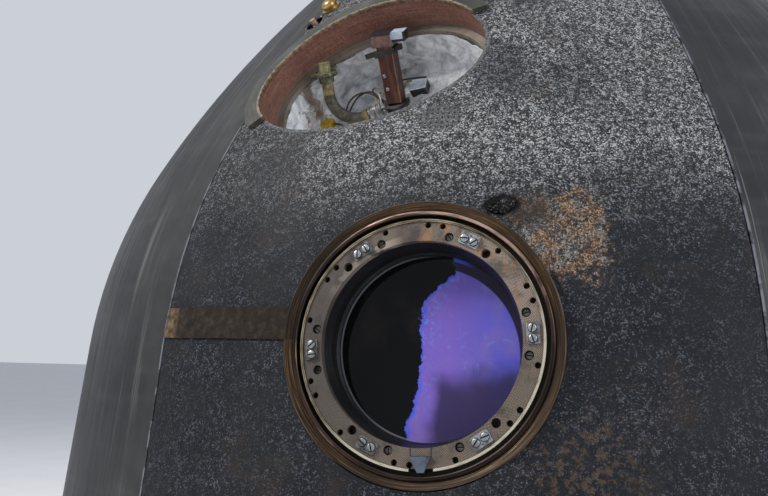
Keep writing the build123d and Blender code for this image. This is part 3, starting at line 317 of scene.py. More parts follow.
def window_marks(g, flat, value, clumps, colour, rough, bump):
    """Rust and ash, drilled dots, and the gouge in a scorch mark round the front window."""
    speckle = (g.noise(120, 5, 0.75) - 0.5) * 1.5
    rust = g.span(patch(g, flat, (0.19, 0.155), (0.12, 0.115), 0.85, 0.5, 13) + speckle, 0.36, 0.72)
    ashen = g.ramp(value, (0.05, 0.022, 0.021, 0.02), (0.45, 0.13, 0.122, 0.112), (0.85, 0.4, 0.38, 0.35))
    orange = g.ramp(value, (0.05, 0.045, 0.026, 0.015), (0.42, 0.19, 0.103, 0.05), (0.85, 0.45, 0.32, 0.2))
    rusty = g.blend(g.noise(42, 5, 0.72), 0.42, 0.6, ashen, orange)
    pits = g.span(g.noise(150, 4, 0.7), 0.57, 0.62)
    rusty = g.mix(pits * 0.9, rusty, (0.012, 0.01, 0.009))
    colour = g.mix(rust * 0.92, colour, rusty)
    bump = g.bump(rust * g.noise(260, 3, 0.7), 0.0015, 0.7, bump)
    low = patch(g, flat, (0.225, -0.17), (0.12, 0.14), 0.8)
    spots = g.span(g.noise(95, 5, 0.75) + clumps * 0.15, 0.5, 0.6)
    colour = g.mix(low * (spots * 0.7), colour, (0.09, 0.056, 0.028))
    dots = g.vector("FRACTION", g.vector("SCALE", flat, DRILLED_PER_METRE))
    dots = g.vector("LENGTH", g.vector("SUBTRACT", dots, (0.5, 0.5, 0.0)))
    drilled = patch(g, flat, (0.0, 0.353), (0.038, 0.027), 0.1, 0.1)
    colour = g.mix(drilled * 0.6, colour, (0.095, 0.095, 0.098))
    colour = g.mix(g.span(dots, 0.23, 0.15) * drilled, colour, (0.004, 0.004, 0.005))
    gouge = patch(g, flat, (0.107, 0.198), (0.031, 0.018), 0.3, 0.3, 55)
    colour = g.mix(gouge, colour, (0.0025, 0.002, 0.002))
    scorch = patch(g, flat, (0.14, 0.19), (0.06, 0.035), 0.6, 0.4, 30)
    colour = g.mix(scorch * (0.7 - gouge * 0.7), colour, (0.02, 0.012, 0.009))
    bump = g.bump(1.0 - gouge, 0.006, 0.9, bump)
    return colour, rough + gouge * 0.2, bump


def granular_hull(name, features=False):
    """Charred heat protection whose face is a cut through coarse grains: a shaded copy of the grains, paler high
    up by painted sunlight.
    """
    g = Graph(name, Specular_IOR_Level=0.28)
    clumps = (g.noise(95, 3, 0.6) - 0.5) * 1.5
    cracks = g.span(g.cells(GRAINS_PER_METRE, "DISTANCE_TO_EDGE"), 0.02, 0.16)
    value = g.split(g.cells(GRAINS_PER_METRE, out="Color"))[0] + clumps
    value = value * (cracks * 0.55 + 0.45)
    # Shaded copy of the grains: dark, with pale specks.
    dark = g.ramp(value, (0.05, 0.004, 0.0045, 0.0065), (0.45, 0.0095, 0.0105, 0.015),
                  (0.7, 0.028, 0.031, 0.042), (0.93, 0.115, 0.122, 0.145))
    # Sunlit copy of the same grains, for the painted sunlight.
    pale = g.ramp(value, (0.02, 0.012, 0.012, 0.013), (0.28, 0.046, 0.047, 0.052),
                  (0.58, 0.185, 0.186, 0.192), (0.88, 0.59, 0.59, 0.58))
    wide = g.noise(6, 4, 0.6)
    sooty = g.span(g.noise(14, 4, 0.6), 0.42, 0.62, 0.0, 0.6)
    dark = g.mix(sooty, dark, (0.01, 0.0105, 0.0125))
    z = g.split(g.place)[2]
    # Painted sunlight: the sunlit copy above about a metre, in broad patches.
    painted_sunlight = g.span(z, 0.98, 1.16) * g.span(wide, 0.3, 0.56, 0.25, 1.0)
    if features:
        across, rise, _ = g.local(WINDOWS["front"])
        # Painted shadow: less painted sunlight to the left of the front window.
        painted_sunlight = painted_sunlight * g.span(across, -0.36, -0.16, 0.35, 1.0)
    colour = g.mix(painted_sunlight, dark, pale)
    brown = g.span(g.noise(11, 5, 0.62, distortion=0.4), 0.56, 0.7)
    colour = g.mix(brown * 0.3, colour, (0.05, 0.031, 0.018))
    bump = g.bump(value, 0.0016, 0.75, g.bump(g.noise(46, 3, 0.6), 0.0035, 0.5))
    rough = g.span(wide, 0.3, 0.7, 0.55, 0.8)
    if features:
        colour, rough, bump = window_marks(g, g.join(across, rise), value, clumps, colour, rough, bump)
    return g.done(colour, rough, bump)


def graphite_hull(name):
    """Charred heat protection rubbed smooth, with pale upright brush marks and a painted highlight along the
    seam edge.
    """
    g = Graph(name, Specular_IOR_Level=0.28)
    angle, z = g.azimuth()
    marks = g.streaks(6, 0.72, angle * 34, z * 1.6)
    thin = g.streaks(3, 0.6, angle * 170, z * 1.2, 4)
    colour = g.ramp(g.noise(3.4, 4, 0.6), (0.34, 0.015, 0.016, 0.018), (0.52, 0.031, 0.031, 0.032),
                    (0.7, 0.066, 0.065, 0.062))
    colour = g.mix(g.span(marks, 0.54, 0.76, 0.0, 0.75), colour, (0.165, 0.16, 0.15))
    lines = g.span(thin, 0.64, 0.72, 0.0, 0.55) * g.span(marks, 0.42, 0.58)
    colour = g.mix(lines, colour, (0.25, 0.24, 0.225))
    fine = g.noise(420, 3, 0.7)
    colour = g.mix(g.span(fine, 0.5, 0.75, 0.0, 0.35), colour, (0.012, 0.012, 0.013))
    # Painted highlight: a pale bluish line along the seam between the panels, broken up by noise.
    seam = g.span(abs(angle), radians(27.78), radians(27.62))
    seam = seam * g.span(g.noise(28, 4, 0.7), 0.42, 0.56)
    colour = g.mix(seam * 0.7, colour, (0.22, 0.235, 0.27))
    bands = g.streaks(2, 0.5, angle * 3, z * 26, 9)
    colour = g.mix(g.span(bands, 0.52, 0.78, 0.0, 0.2), colour, (0.1, 0.095, 0.088))
    bump = g.bump(marks, 0.001, 0.4, g.bump(g.noise(26, 3, 0.6), 0.003, 0.35))
    bump = g.bump(fine, 0.0005, 0.5, bump)
    return g.done(colour, g.span(marks, 0.3, 0.7, 0.6, 0.42), bump)


dress(granular_hull("front_hull", features=True), "front_panel")
dress(granular_hull("rear_hull"), "rear_panel", "reserve_cover")
dress(graphite_hull("side_hull"), "left_front_panel", "right_front_panel", "left_rear_panel",
      "right_rear_panel")


def metal(name, colour, dark, rough=0.4, metallic=1.0, grain=240, wear=(0.45, 0.62), gloss=0.5):
    """Worn metal or paint: patches of a darker film, fine scratches."""
    g = Graph(name, Metallic=metallic, Specular_IOR_Level=gloss)
    film = g.span(g.noise(18, 5, 0.65), *wear)
    fine = g.noise(grain, 3, 0.6)
    tone = g.mix(g.span(fine, 0.55, 0.75, 0.0, 0.5), g.mix(film, colour, dark), dark)
    return g.done(tone, g.span(film, 0.0, 1.0, rough, min(rough + 0.25, 1.0)), g.bump(fine, 0.0004, 0.4))


EVEN = (0.34, 0.74)
dress(metal("hull_alloy", (0.52, 0.53, 0.52), (0.3, 0.3, 0.29)), "pressure_hull", "bottom_bulkhead")
dress(metal("base_ring_alloy", (0.3, 0.29, 0.27), (0.15, 0.14, 0.125), 0.45, wear=EVEN), "base_ring")
dress(metal("floor_paint", (0.36, 0.38, 0.36), (0.2, 0.2, 0.19), 0.6, 0.0), "cabin_floor")
dress(metal("motor_paint", (0.22, 0.23, 0.21), (0.04, 0.04, 0.04), 0.5, 0.2), "landing_motors")
dress(metal("altimeter", (0.5, 0.46, 0.38), (0.22, 0.18, 0.13), 0.6, 0.0), "altimeter_plate")
dress(metal("couch", (0.34, 0.36, 0.34), (0.24, 0.25, 0.24), 0.7, 0.0), "left_seat", "centre_seat", "right_seat")
dress(metal("console", (0.42, 0.45, 0.44), (0.3, 0.32, 0.31), 0.55, 0.0), "instrument_console")
dress(metal("ring_alloy", (0.4, 0.375, 0.33), (0.17, 0.15, 0.125), 0.38, wear=EVEN), "hatch_ring", "hatch_cover")
dress(metal("hinge_steel", (0.52, 0.52, 0.5), (0.25, 0.25, 0.24), 0.32), "hatch_hinge", "thruster_nozzles")
dress(metal("wheel_paint", (0.05, 0.05, 0.05), (0.02, 0.02, 0.02), 0.4, 0.2), "hatch_handwheel")
dress(metal("umbilical", (0.26, 0.25, 0.23), (0.11, 0.1, 0.09), 0.45, wear=EVEN), "umbilical_plate")
dress(metal("black_paint", (0.016, 0.016, 0.017), (0.045, 0.04, 0.035), 0.42, 0.1), "port_post_clamp",
      "periscope_housing")
dress(metal("brass", (0.62, 0.42, 0.14), (0.2, 0.13, 0.05), 0.28), "vent_fitting")
dress(metal("latch_metal", (0.115, 0.14, 0.18), (0.045, 0.052, 0.065), 0.45, 0.5), *both("{}_window_latch"))
dress(metal("ledge_metal", (0.255, 0.215, 0.175), (0.135, 0.105, 0.082), 0.5, 0.2, wear=(0.36, 0.7)),
      "port_ledge")
dress(metal("can_alloy", (0.34, 0.35, 0.34), (0.2, 0.2, 0.195), 0.5, 0.4, wear=EVEN), "parachute_can")


def window_frame(name, place):
    """Turned, heat-stained metal: brown band, copper bead, dark groove in painted shade, rubbed rim, and painted
    sunlight on the upper right.
    """
    g = Graph(name, Metallic=0.75)
    radius, angle, _ = g.ring(place)
    streaks = g.streaks(5, 0.65, radius * 900, angle * 2.2)
    patches = g.streaks(4, 0.6, radius * 40, angle * 1.4, 3)
    warm = g.span(angle + patches * 0.8, -1.0, -2.4)
    # Painted sunlight: the band and the bead paler round the upper right of the ring.
    painted_sun_top_right = g.span(abs(angle - 1.1), 1.3, 0.5)
    streaks = streaks + g.math("MAXIMUM", warm, painted_sun_top_right) * 0.07
    band = g.ramp(streaks, (0.34, 0.009, 0.006, 0.004), (0.5, 0.026, 0.017, 0.011),
                  (0.59, 0.07, 0.042, 0.021), (0.68, 0.2, 0.115, 0.046), (0.78, 0.38, 0.25, 0.12))
    bead = g.ramp(patches * 0.75 + painted_sun_top_right * 0.2, (0.36, 0.016, 0.01, 0.008), (0.5, 0.07, 0.038, 0.027),
                  (0.63, 0.62, 0.42, 0.34))
    colour = g.mix(g.span(radius, 0.1808, 0.1815) * g.span(radius, 0.1858, 0.185), band, bead)
    # Painted shade: the groove and the frame inside it near black, as in shade in a recess.
    groove = g.mix(patches, (0.004, 0.004, 0.003), (0.02, 0.017, 0.012))
    colour = g.blend(radius, 0.1806, 0.1796, colour, groove)
    rim = g.span(radius, 0.1982, 0.1992) * g.span(patches, 0.4, 0.6, 0.0, 0.7)
    return g.worn(g.mix(rim, colour, (0.22, 0.15, 0.1)), streaks, 0.5, 0.28, 0.0003, 0.6)


PLATE_CIRCLE, WEAVE_PITCH, LATCH_ANGLE = 0.157, 0.0027, radians(-86.4)


def window_plate(name, place):
    """Woven glass-fibre ring, beige-brown, with rust, soot and a dark line round the latch's seat, painted
    sunlight on its upper right and painted shade on its left.
    """
    g = Graph(name)
    radius, angle, _ = g.ring(place)
    turns = g.math("SINE", angle * round(2 * pi * PLATE_CIRCLE / WEAVE_PITCH))
    weave = g.math("SINE", radius * (2 * pi / WEAVE_PITCH)) * turns
    tone = g.span(weave, -0.8, 0.8)
    colour = g.mix(tone, (0.04, 0.031, 0.025), (0.235, 0.18, 0.13))
    # Painted sunlight: the weave's pale threads brighter round the upper right.
    bright = g.span(abs(angle - 0.75), 0.95, 0.3)
    colour = g.mix(bright * (tone * 0.65), colour, (0.52, 0.41, 0.33))
    soot = g.span(g.noise(26, 5, 0.65), 0.46, 0.64, 0.0, 0.75)
    colour = g.mix(soot, colour, (0.034, 0.029, 0.026))
    rubbed = g.span(abs(angle - 2.25), 0.5, 0.3) * g.span(g.noise(30, 3, 0.6), 0.44, 0.52)
    colour = g.mix(rubbed * g.span(radius, 0.1535, 0.1515, 0.15, 0.9), colour, (0.4, 0.33, 0.27))
    rusty = g.span(angle, 0.1, 0.7) * g.span(angle, 2, 1.3)
    colour = g.mix(rusty * g.span(g.noise(40, 4, 0.6), 0.5, 0.68), colour, (0.36, 0.17, 0.06))
    x, y, _ = g.local(place)
    flat, c, s = g.join(x, y), cos(LATCH_ANGLE), sin(LATCH_ANGLE)
    out = g.vector("DOT_PRODUCT", flat, (c, s, 0.0))
    side = abs(g.vector("DOT_PRODUCT", flat, (-s, c, 0.0)))
    line = abs(g.math("MAXIMUM", side - 0.0145, out - 0.154))
    colour = g.mix(g.span(line, 0.0011, 0.0005) * g.span(out, 0.1, 0.12), colour, (0.012, 0.01, 0.009))
    # Painted shade: the ring darker on its left side.
    left = g.span(abs(angle), 1.7, 2.6)
    colour = g.mix(left * 0.6, colour, (0.04, 0.036, 0.033))
    return g.done(colour, 0.62, g.bump(weave, 0.0005, 0.8))


def window_lip(name, place):
    """Thin gold ring with a dark line and scuffs, and a painted highlight along its lower right."""
    g = Graph(name, Metallic=0.9)
    radius, angle, h = g.ring(place)
    scuffs = g.streaks(4, 0.6, radius * 500, angle * 9, h)
    scuffs = scuffs * 0.6 + g.streaks(2, 0.5, angle * 1.6, 0.0, 7) * 0.4
    colour = g.ramp(scuffs, (0.36, 0.055, 0.042, 0.028), (0.48, 0.28, 0.215, 0.13), (0.6, 0.74, 0.64, 0.46))
    line = g.span(radius, 0.1714, 0.1717) * g.span(radius, 0.1728, 0.1725)
    colour = g.mix(line * 0.8, colour, (0.05, 0.04, 0.03))
    # Painted highlight: the lip paler along its lower right, stronger on the scuffs.
    low = g.span(g.math("COSINE", angle + radians(55)), 0.05, 0.5)
    colour = g.mix(low * g.span(scuffs, 0.38, 0.52, 0.35, 0.95), colour, (0.9, 0.8, 0.62))
    return g.worn(colour, scuffs, 0.45, 0.22)


def window_clips(name, place):
    """Grey alloy, darker on the ring's left side by painted shade."""
    g = Graph(name, Metallic=0.6)
    angle = g.ring(place)[1]
    film = g.noise(60, 5, 0.65)
    colour = g.blend(film, 0.4, 0.6, (0.36, 0.385, 0.42), (0.13, 0.135, 0.145))
    # Painted shade: the clips darker on the ring's left side, in mottled patches.
    painted_left_shade = g.span(abs(angle), 1.5, 2.1) * g.span(film, 0.4, 0.56, 0.62, 0.92)
    colour = g.mix(painted_left_shade, colour, (0.055, 0.05, 0.046))
    return g.done(colour, g.span(film, 0.4, 0.6, 0.42, 0.62), g.bump(g.noise(240, 3, 0.6), 0.0004, 0.4))


def window_throat(name, place):
    """Black stepped throat with thin worn rings."""
    g = Graph(name, Metallic=0.3)
    _, angle, h = g.ring(place)
    rings = g.streaks(3, 0.6, h * 700, angle * 2)
    colour = g.ramp(rings, (0.4, 0.006, 0.006, 0.007), (0.64, 0.022, 0.022, 0.024), (0.72, 0.07, 0.07, 0.07))
    return g.worn(colour, rings, 0.5, 0.3)


def window_glass(name, place):
    """Thick pane with a painted sky reflection: violet with a ragged blue edge and a dusky low part, over
    painted dark for the unlit inside.
    """
    g = Graph(name, IOR=1.52, Specular_IOR_Level=0.18)
    x, y, _ = g.local(place)
    # Painted reflection: the right part of the pane, inside a ragged border.
    ragged = (g.noise(34, 6, 0.75) - 0.5) * 0.042
    bend = g.span(y, 0.055, 0.115, 0.0, 0.046) - g.span(y, -0.06, -0.12, 0.0, 0.012)
    side = x + 0.015 - bend + ragged
    painted_reflection = g.span(side, -0.0012, 0.0012)
    clouds = g.noise(16, 4, 0.55)
    # Colours of the painted reflection, bluer towards the right, clouded.
    violet = g.blend(x, 0.02, 0.12, (0.19, 0.12, 0.5), (0.115, 0.118, 0.62))
    violet = g.mix(g.span(clouds, 0.44, 0.72, 0.0, 0.45), violet, (0.28, 0.19, 0.46))
    # Painted reflection: pale blue streaks through the violet.
    reflection_streaks = g.span(g.noise(55, 5, 0.7, distortion=0.8), 0.58, 0.7)
    violet = g.mix(reflection_streaks * 0.28, violet, (0.22, 0.36, 0.8))
    # Dim lower right of the painted reflection.
    drift = g.noise(9, 3, 0.5) * 0.11
    dusk = g.span(y + drift, 0.03, -0.01) * g.span(x + drift - 0.045, 0.002, 0.03)
    violet = g.mix(dusk * 0.9, violet, (0.036, 0.026, 0.07))
    # Painted reflection: cyan speckles near its border, fewer low down.
    reflection_mottle = g.span(side, 0.045, 0.004) * g.span(g.noise(150, 5, 0.75), 0.5, 0.62)
    reflection_mottle = painted_reflection * reflection_mottle * g.span(y, -0.02, 0.045, 0.25, 1.0)
    violet = g.mix(reflection_mottle * 0.8, violet, (0.16, 0.3, 0.86))
    # Painted dark: the unlit inside behind the pane, where no reflection is painted.
    inside = g.blend(g.noise(12, 4, 0.6), 0.48, 0.7, (0.0015, 0.0015, 0.002), (0.01, 0.007, 0.0055))
    colour = g.mix(painted_reflection, inside, violet)
    # Bright blue line of painted reflection along its border.
    seam = painted_reflection * g.span(side, 0.008, 0.001)
    colour = g.mix(seam * g.span(clouds, 0.3, 0.6, 0.45, 0.95), colour, (0.06, 0.12, 0.76))
    rim_shade = g.span(g.length(x, y + 0.014), 0.1295, 0.1315) * painted_reflection
    colour = g.mix(rim_shade, colour, (0.02, 0.016, 0.04))
    radius = g.length(x, y)
    # Painted reflection: a blue line by the pane's top edge.
    top = g.span(y, 0.08, 0.105) * g.span(x, 0.066, 0.04)
    blue_rim = g.span(radius, 0.1285, 0.13) * top * painted_reflection
    colour = g.mix(blue_rim * 0.85, colour, (0.05, 0.1, 0.6))
    # Painted highlight: a thin pale line at the pane's edge, on its left.
    edge_line = g.span(radius, 0.1318, 0.1324) * g.span(x, 0.02, -0.05)
    return g.done(g.mix(edge_line * 0.6, colour, (0.2, 0.21, 0.24)), 0.05)


for name, place in WINDOWS.items():
    dress(window_frame(f"{name}_frame_metal", place), f"{name}_window_frame")
    dress(window_plate(f"{name}_plate_weave", place), f"{name}_window_plate")
    dress(window_lip(f"{name}_lip_metal", place), f"{name}_window_lip", f"{name}_window_retainer")
    dress(window_clips(f"{name}_clip_metal", place), f"{name}_window_clips")
    dress(window_throat(f"{name}_throat_paint", place), f"{name}_window_throat")
    dress(window_glass(f"{name}_pane", place), f"{name}_window_glass")
g = Graph("lens_glass", IOR=1.6, Roughness=0.03)
dress(g.done(g.blend(g.noise(30), 0.4, 0.6, (0.006, 0.008, 0.012), (0.02, 0.03, 0.055))), "periscope_lens")


def strap_char(name):
    """Flush band of scorched tape, tan where it is worn."""
    g = Graph(name, Specular_IOR_Level=0.2)
    angle, z = g.azimuth()
    mottle = g.noise(80, 5, 0.65)
    end = g.span(angle + mottle * 0.02, radians(-24.6), radians(-25.4))
    dark = g.ramp(mottle, (0.35, 0.008, 0.0055, 0.004), (0.52, 0.021, 0.014, 0.009),
                  (0.72, 0.052, 0.036, 0.022))
    tan_tone = g.ramp(mottle, (0.35, 0.032, 0.02, 0.012), (0.5, 0.095, 0.062, 0.037),
                      (0.66, 0.19, 0.135, 0.085))
    fray = g.streaks(3, 0.6, angle * 8, z * 500)
    colour = g.mix(g.span(fray, 0.58, 0.7, 0.0, 0.5), g.mix(end, dark, tan_tone), (0.016, 0.012, 0.01))
    return g.done(colour, 0.72, g.bump(g.noise(150, 4, 0.6), 0.001, 0.6))


def laminate(name, place):
    """Cut edge of the heat protection: brown-red fibres, charred at the face."""
    g = Graph(name)
    x, y, h = g.local(place)
    layers = g.streaks(4, 0.65, x * 16, y * 16, h * 260)
    fibres = g.streaks(4, 0.7, x * 330, y * 330, h * 90)
    grain = layers * 0.3 + fibres * 0.25 + g.noise(420, 4, 0.75) * 0.45
    colour = g.ramp(grain, (0.36, 0.06, 0.024, 0.016), (0.47, 0.165, 0.068, 0.046),
                    (0.56, 0.255, 0.12, 0.084), (0.68, 0.38, 0.24, 0.18))
    blotch = g.span(g.noise(30, 4, 0.6), 0.5, 0.7, 0.0, 0.45)
    colour = g.mix(blotch, colour, (0.115, 0.07, 0.045))
    facing = g.vector("DOT_PRODUCT", g.node("ShaderNodeNewGeometry", out="Normal"), place.n)
    char = g.blend(g.noise(330, 3), 0.4, 0.6, (0.03, 0.03, 0.032), (0.16, 0.16, 0.16))
    colour = g.blend(facing, 0.35, 0.6, colour, char)
    colour = g.mix(g.span(h, -0.064, -0.074) * 0.6, colour, (0.2, 0.16, 0.125))
    return g.done(colour, 0.75, g.bump(grain, 0.0016, 0.9))


def lip_olive(name, place, half_width, half_height):
    """Smooth olive-brown band, with a thin gold scuffed edge over the red laminate."""
    g = Graph(name, Metallic=0.15)
    x, y, _ = g.local(place)
    u, v = x / half_width, y / half_height
    a = g.length(u, v)
    soft = g.noise(12, 4, 0.6)
    drawn = g.streaks(4, 0.6, a * 130, g.math("ARCTAN2", v, u) * 3)
    scuffs = g.noise(150, 4, 0.7)
    colour = g.ramp(soft * 0.5 + drawn * 0.5, (0.36, 0.024, 0.023, 0.018), (0.5, 0.055, 0.053, 0.041),
                    (0.64, 0.125, 0.122, 0.096))
    east, north, z = g.split(g.place)
    rho = g.math("SQRT", east * east + north * north)
    proud = g.length(rho - CROWN_CENTRE[0], z - CROWN_CENTRE[1]) - CROWN_RADIUS
    fibre = g.blend(scuffs, 0.36, 0.64, (0.09, 0.034, 0.022), (0.27, 0.125, 0.08))
    gold = g.blend(scuffs, 0.4, 0.58, (0.12, 0.1, 0.066), (0.34, 0.275, 0.175))
    edge = g.span(a, 1.028, 1.016) * g.span(scuffs, 0.34, 0.5, 0.55, 1.0)
    colour = g.mix(edge, colour, g.blend(proud, 0.0052, 0.0062, fibre, gold))
    streak = g.span(drawn, 0.62, 0.7) * g.span(soft, 0.45, 0.6)
    colour = g.mix(streak * 0.6, colour, (0.36, 0.3, 0.2))
    return g.worn(colour, scuffs, 0.5, 0.34, 0.0004)


def foil(name):
    """Whitish metal foil in soft folds, creased, stained brown in places, with painted shade in its folds and
    creases.
    """
    g = Graph(name, Metallic=0.1)
    folds = g.noise(24, 4, 0.55, distortion=1.1)
    creases = g.cells(42, "DISTANCE_TO_EDGE")
    # Painted shade: darker grey where the folds sink, following their bump.
    colour = g.ramp(folds, (0.36, 0.5, 0.53, 0.55), (0.49, 0.8, 0.82, 0.84), (0.64, 0.95, 0.95, 0.95))
    # Painted shade: darker along the creases.
    colour = g.mix(g.span(creases, 0.06, 0.0, 0.0, 0.4), colour, (0.36, 0.37, 0.38))
    stain = g.span(g.noise(17, 5, 0.65), 0.6, 0.7)
    colour = g.mix(stain * 0.4, colour, (0.27, 0.21, 0.15))
    x, y, _ = g.local(PORT)
    for across, rise, reach in ((-0.178, 0.066, 0.016), (-0.17, 0.052, 0.014), (-0.182, 0.03, 0.012)):
        torn = g.length(x - across, y - rise) + g.noise(85, 5, 0.75) * 0.045
        colour = g.mix(g.span(torn, reach + 0.02, reach + 0.014, 0.0, 0.8), colour, (0.21, 0.125, 0.07))
    bump = g.bump(g.span(creases, 0.0, 0.2), 0.0015, 0.4, g.bump(folds, 0.006, 0.5))
    return g.done(colour, 0.38, g.bump(g.noise(120, 4, 0.6), 0.001, 0.35, bump))


def post_paint(name, place):
    """Red-brown primer, darker and streaked along the post, worn to metal at its edges."""
    g = Graph(name, Metallic=0.1)
    x, y, h = g.local(place)
    along = g.streaks(4, 0.65, x * 160, y * 160, h * 18)
    worn = g.noise(90, 5, 0.7)
    colour = g.ramp(along, (0.34, 0.03, 0.011, 0.008), (0.52, 0.078, 0.025, 0.015), (0.68, 0.16, 0.058, 0.034))
    x, y = abs(x), abs(y)
    edge = g.span(g.math("MINIMUM", x, y), 0.0128, 0.0144) * g.span(g.math("MAXIMUM", x, y), 0.0136, 0.0146)
    colour = g.mix(edge * g.span(worn, 0.4, 0.6, 0.2, 0.9), colour, (0.34, 0.17, 0.11))
    colour = g.mix(g.span(worn, 0.64, 0.72, 0.0, 0.8), colour, (0.36, 0.3, 0.26))
    return g.done(colour, 0.42, g.bump(worn, 0.0004, 0.5))


def post_head(name, place):
    """Primed box under a black plate, and the pale block beside it on its black foot."""
    g = Graph(name, Metallic=0.1)
    x, _, h = g.local(place)
    grain = g.noise(110, 4, 0.65)
    primer = g.blend(grain, 0.35, 0.68, (0.115, 0.055, 0.045), (0.225, 0.125, 0.105))
    pale = g.blend(grain, 0.4, 0.66, (0.42, 0.48, 0.58), (0.62, 0.66, 0.72))
    black = g.blend(grain, 0.52, 0.72, (0.014, 0.014, 0.016), (0.06, 0.058, 0.06))
    block = g.step(x, 0.0168, 0.0172)
    plate = g.step(h, 0.1264, 0.1268) * (1.0 - block)
    foot = g.step(h, 0.1174, 0.117) * block
    edge = g.step(x, 0.0383, 0.0387) * g.step(h, 0.1298, 0.1293)
    shade = g.math("MAXIMUM", g.math("MAXIMUM", plate, foot), edge)
    return g.worn(g.mix(shade, g.mix(block, primer, pale), black), grain, 0.5, 0.36)


def post_foot(name, place):
    """Black collar over an olive foot."""
    g = Graph(name, Metallic=0.2)
    h = g.local(place)[2]
    grain = g.noise(120, 4, 0.65)
    olive = g.blend(grain, 0.38, 0.66, (0.05, 0.048, 0.028), (0.15, 0.142, 0.09))
    black = g.blend(grain, 0.5, 0.7, (0.012, 0.012, 0.013), (0.05, 0.046, 0.042))
    return g.worn(g.mix(g.step(h, -0.162, -0.1612), olive, black), grain, 0.52, 0.38)


def rubber(name, fitting):
    """Olive-grey hose skin, dusty, with a tan wrapping under its fitting."""
    g = Graph(name)
    dust = g.noise(90, 4, 0.7)
    skin = g.blend(dust, 0.36, 0.7, (0.038, 0.036, 0.023), (0.125, 0.115, 0.076))
    x, _, h = g.local(fitting)
    band = g.step(h, 0.066, 0.0672) * g.span(x, -0.03, -0.02)
    wrap = g.blend(g.noise(140, 4, 0.7), 0.36, 0.66, (0.12, 0.082, 0.038), (0.34, 0.255, 0.13))
    rings = g.math("SINE", h * (2 * pi / 0.0012)) * band
    bump = g.bump(rings, 0.0003, 0.4, g.bump(g.noise(500, 2, 0.6), 0.0003, 0.5))
    return g.done(g.mix(band, skin, wrap), g.span(dust, 0.3, 0.7, 0.6, 0.46), bump)


def fitting_paint(name, fitting):
    """Yellow-green cap over a duller olive flange and neck."""
    g = Graph(name, Metallic=0.15)
    h = g.local(fitting)[2]
    grain = g.noise(130, 4, 0.65)
    cap = g.blend(grain, 0.36, 0.66, (0.16, 0.153, 0.064), (0.315, 0.302, 0.145))
    flange = g.blend(grain, 0.36, 0.66, (0.05, 0.05, 0.026), (0.17, 0.165, 0.085))
    threads = g.math("SINE", h * (2 * pi / 0.0016)) * g.step(h, 0.124, 0.1236)
    colour = g.mix(g.step(h, 0.1077, 0.1083), flange, cap)
    return g.worn(colour, grain, 0.46, 0.32, 0.0003, 0.4, g.bump(threads, 0.0003, 0.45))


def connectors(name, place):
    """Pale grey box with a black face, yellow plug, silver plug on the hose."""
    g = Graph(name, Metallic=0.1)
    x, y, h = g.local(place)
    grain = g.noise(130, 4, 0.65)
    pale = g.blend(grain, 0.36, 0.66, (0.6, 0.68, 0.76), (0.82, 0.88, 0.92))
    black = g.blend(grain, 0.5, 0.72, (0.012, 0.012, 0.013), (0.055, 0.05, 0.048))
    yellow = g.blend(grain, 0.36, 0.66, (0.48, 0.28, 0.015), (0.75, 0.5, 0.045))
    silver = g.blend(grain, 0.4, 0.66, (0.12, 0.12, 0.115), (0.42, 0.42, 0.41))
    face = g.math("MAXIMUM", g.step(y, 0.074, 0.0736), g.step(x, 0.043, 0.0434))
    box = g.mix(face * g.step(h, -0.1515, -0.152), pale, black)
    colour = g.mix(g.step(x, -0.01, -0.015), box, silver)
    return g.worn(g.mix(g.step(x, -0.12, -0.13), colour, yellow), grain, 0.5, 0.35)


def socket_paint(name, place):
    """Black cup with a worn copper pin."""
    g = Graph(name, Metallic=0.3)
    radius = g.ring(place)[0]
    grain = g.noise(130, 4, 0.65)
    black = g.blend(grain, 0.5, 0.72, (0.008, 0.008, 0.009), (0.04, 0.038, 0.035))
    copper = g.blend(grain, 0.36, 0.66, (0.3, 0.17, 0.11), (0.62, 0.44, 0.34))
    colour = g.mix(g.step(radius, 0.0066, 0.0062), black, copper)
    rim = g.span(radius, 0.019, 0.0195) * g.span(grain, 0.42, 0.58)
    return g.done(g.mix(rim * 0.7, colour, (0.16, 0.15, 0.12)), 0.42, g.bump(grain, 0.0003, 0.5))


FOIL = foil("foil")
dress(strap_char("strap_char"), *both("{}_strap"))
dress(laminate("laminate", PORT), "port_liner")
dress(lip_olive("lip_olive", PORT, 0.211, 0.159), "port_lip")
dress(lip_olive("bay_lip_olive", BAY, 0.265, 0.185), "parachute_bay_ring")
dress(FOIL, "port_well")
dress(socket_paint("socket_paint", VENT_SOCKET), "vent_socket")
dress(post_paint("post_primer", POST), "port_post")
dress(post_head("post_head", POST), "port_post_cap")
dress(post_foot("post_foot", PORT), "port_post_base")
dress(rubber("hose_rubber", FITTING), "port_hose")
dress(fitting_paint("fitting_paint", FITTING), "port_hose_fitting")
dress(connectors("connectors", PORT), "port_connectors")

SCREW_STEEL = metal("screw_steel", (0.5, 0.5, 0.5), (0.14, 0.135, 0.125), 0.34, grain=600)
DARK_STEEL = metal("dark_steel", (0.16, 0.15, 0.14), (0.05, 0.045, 0.04), 0.42, grain=600)
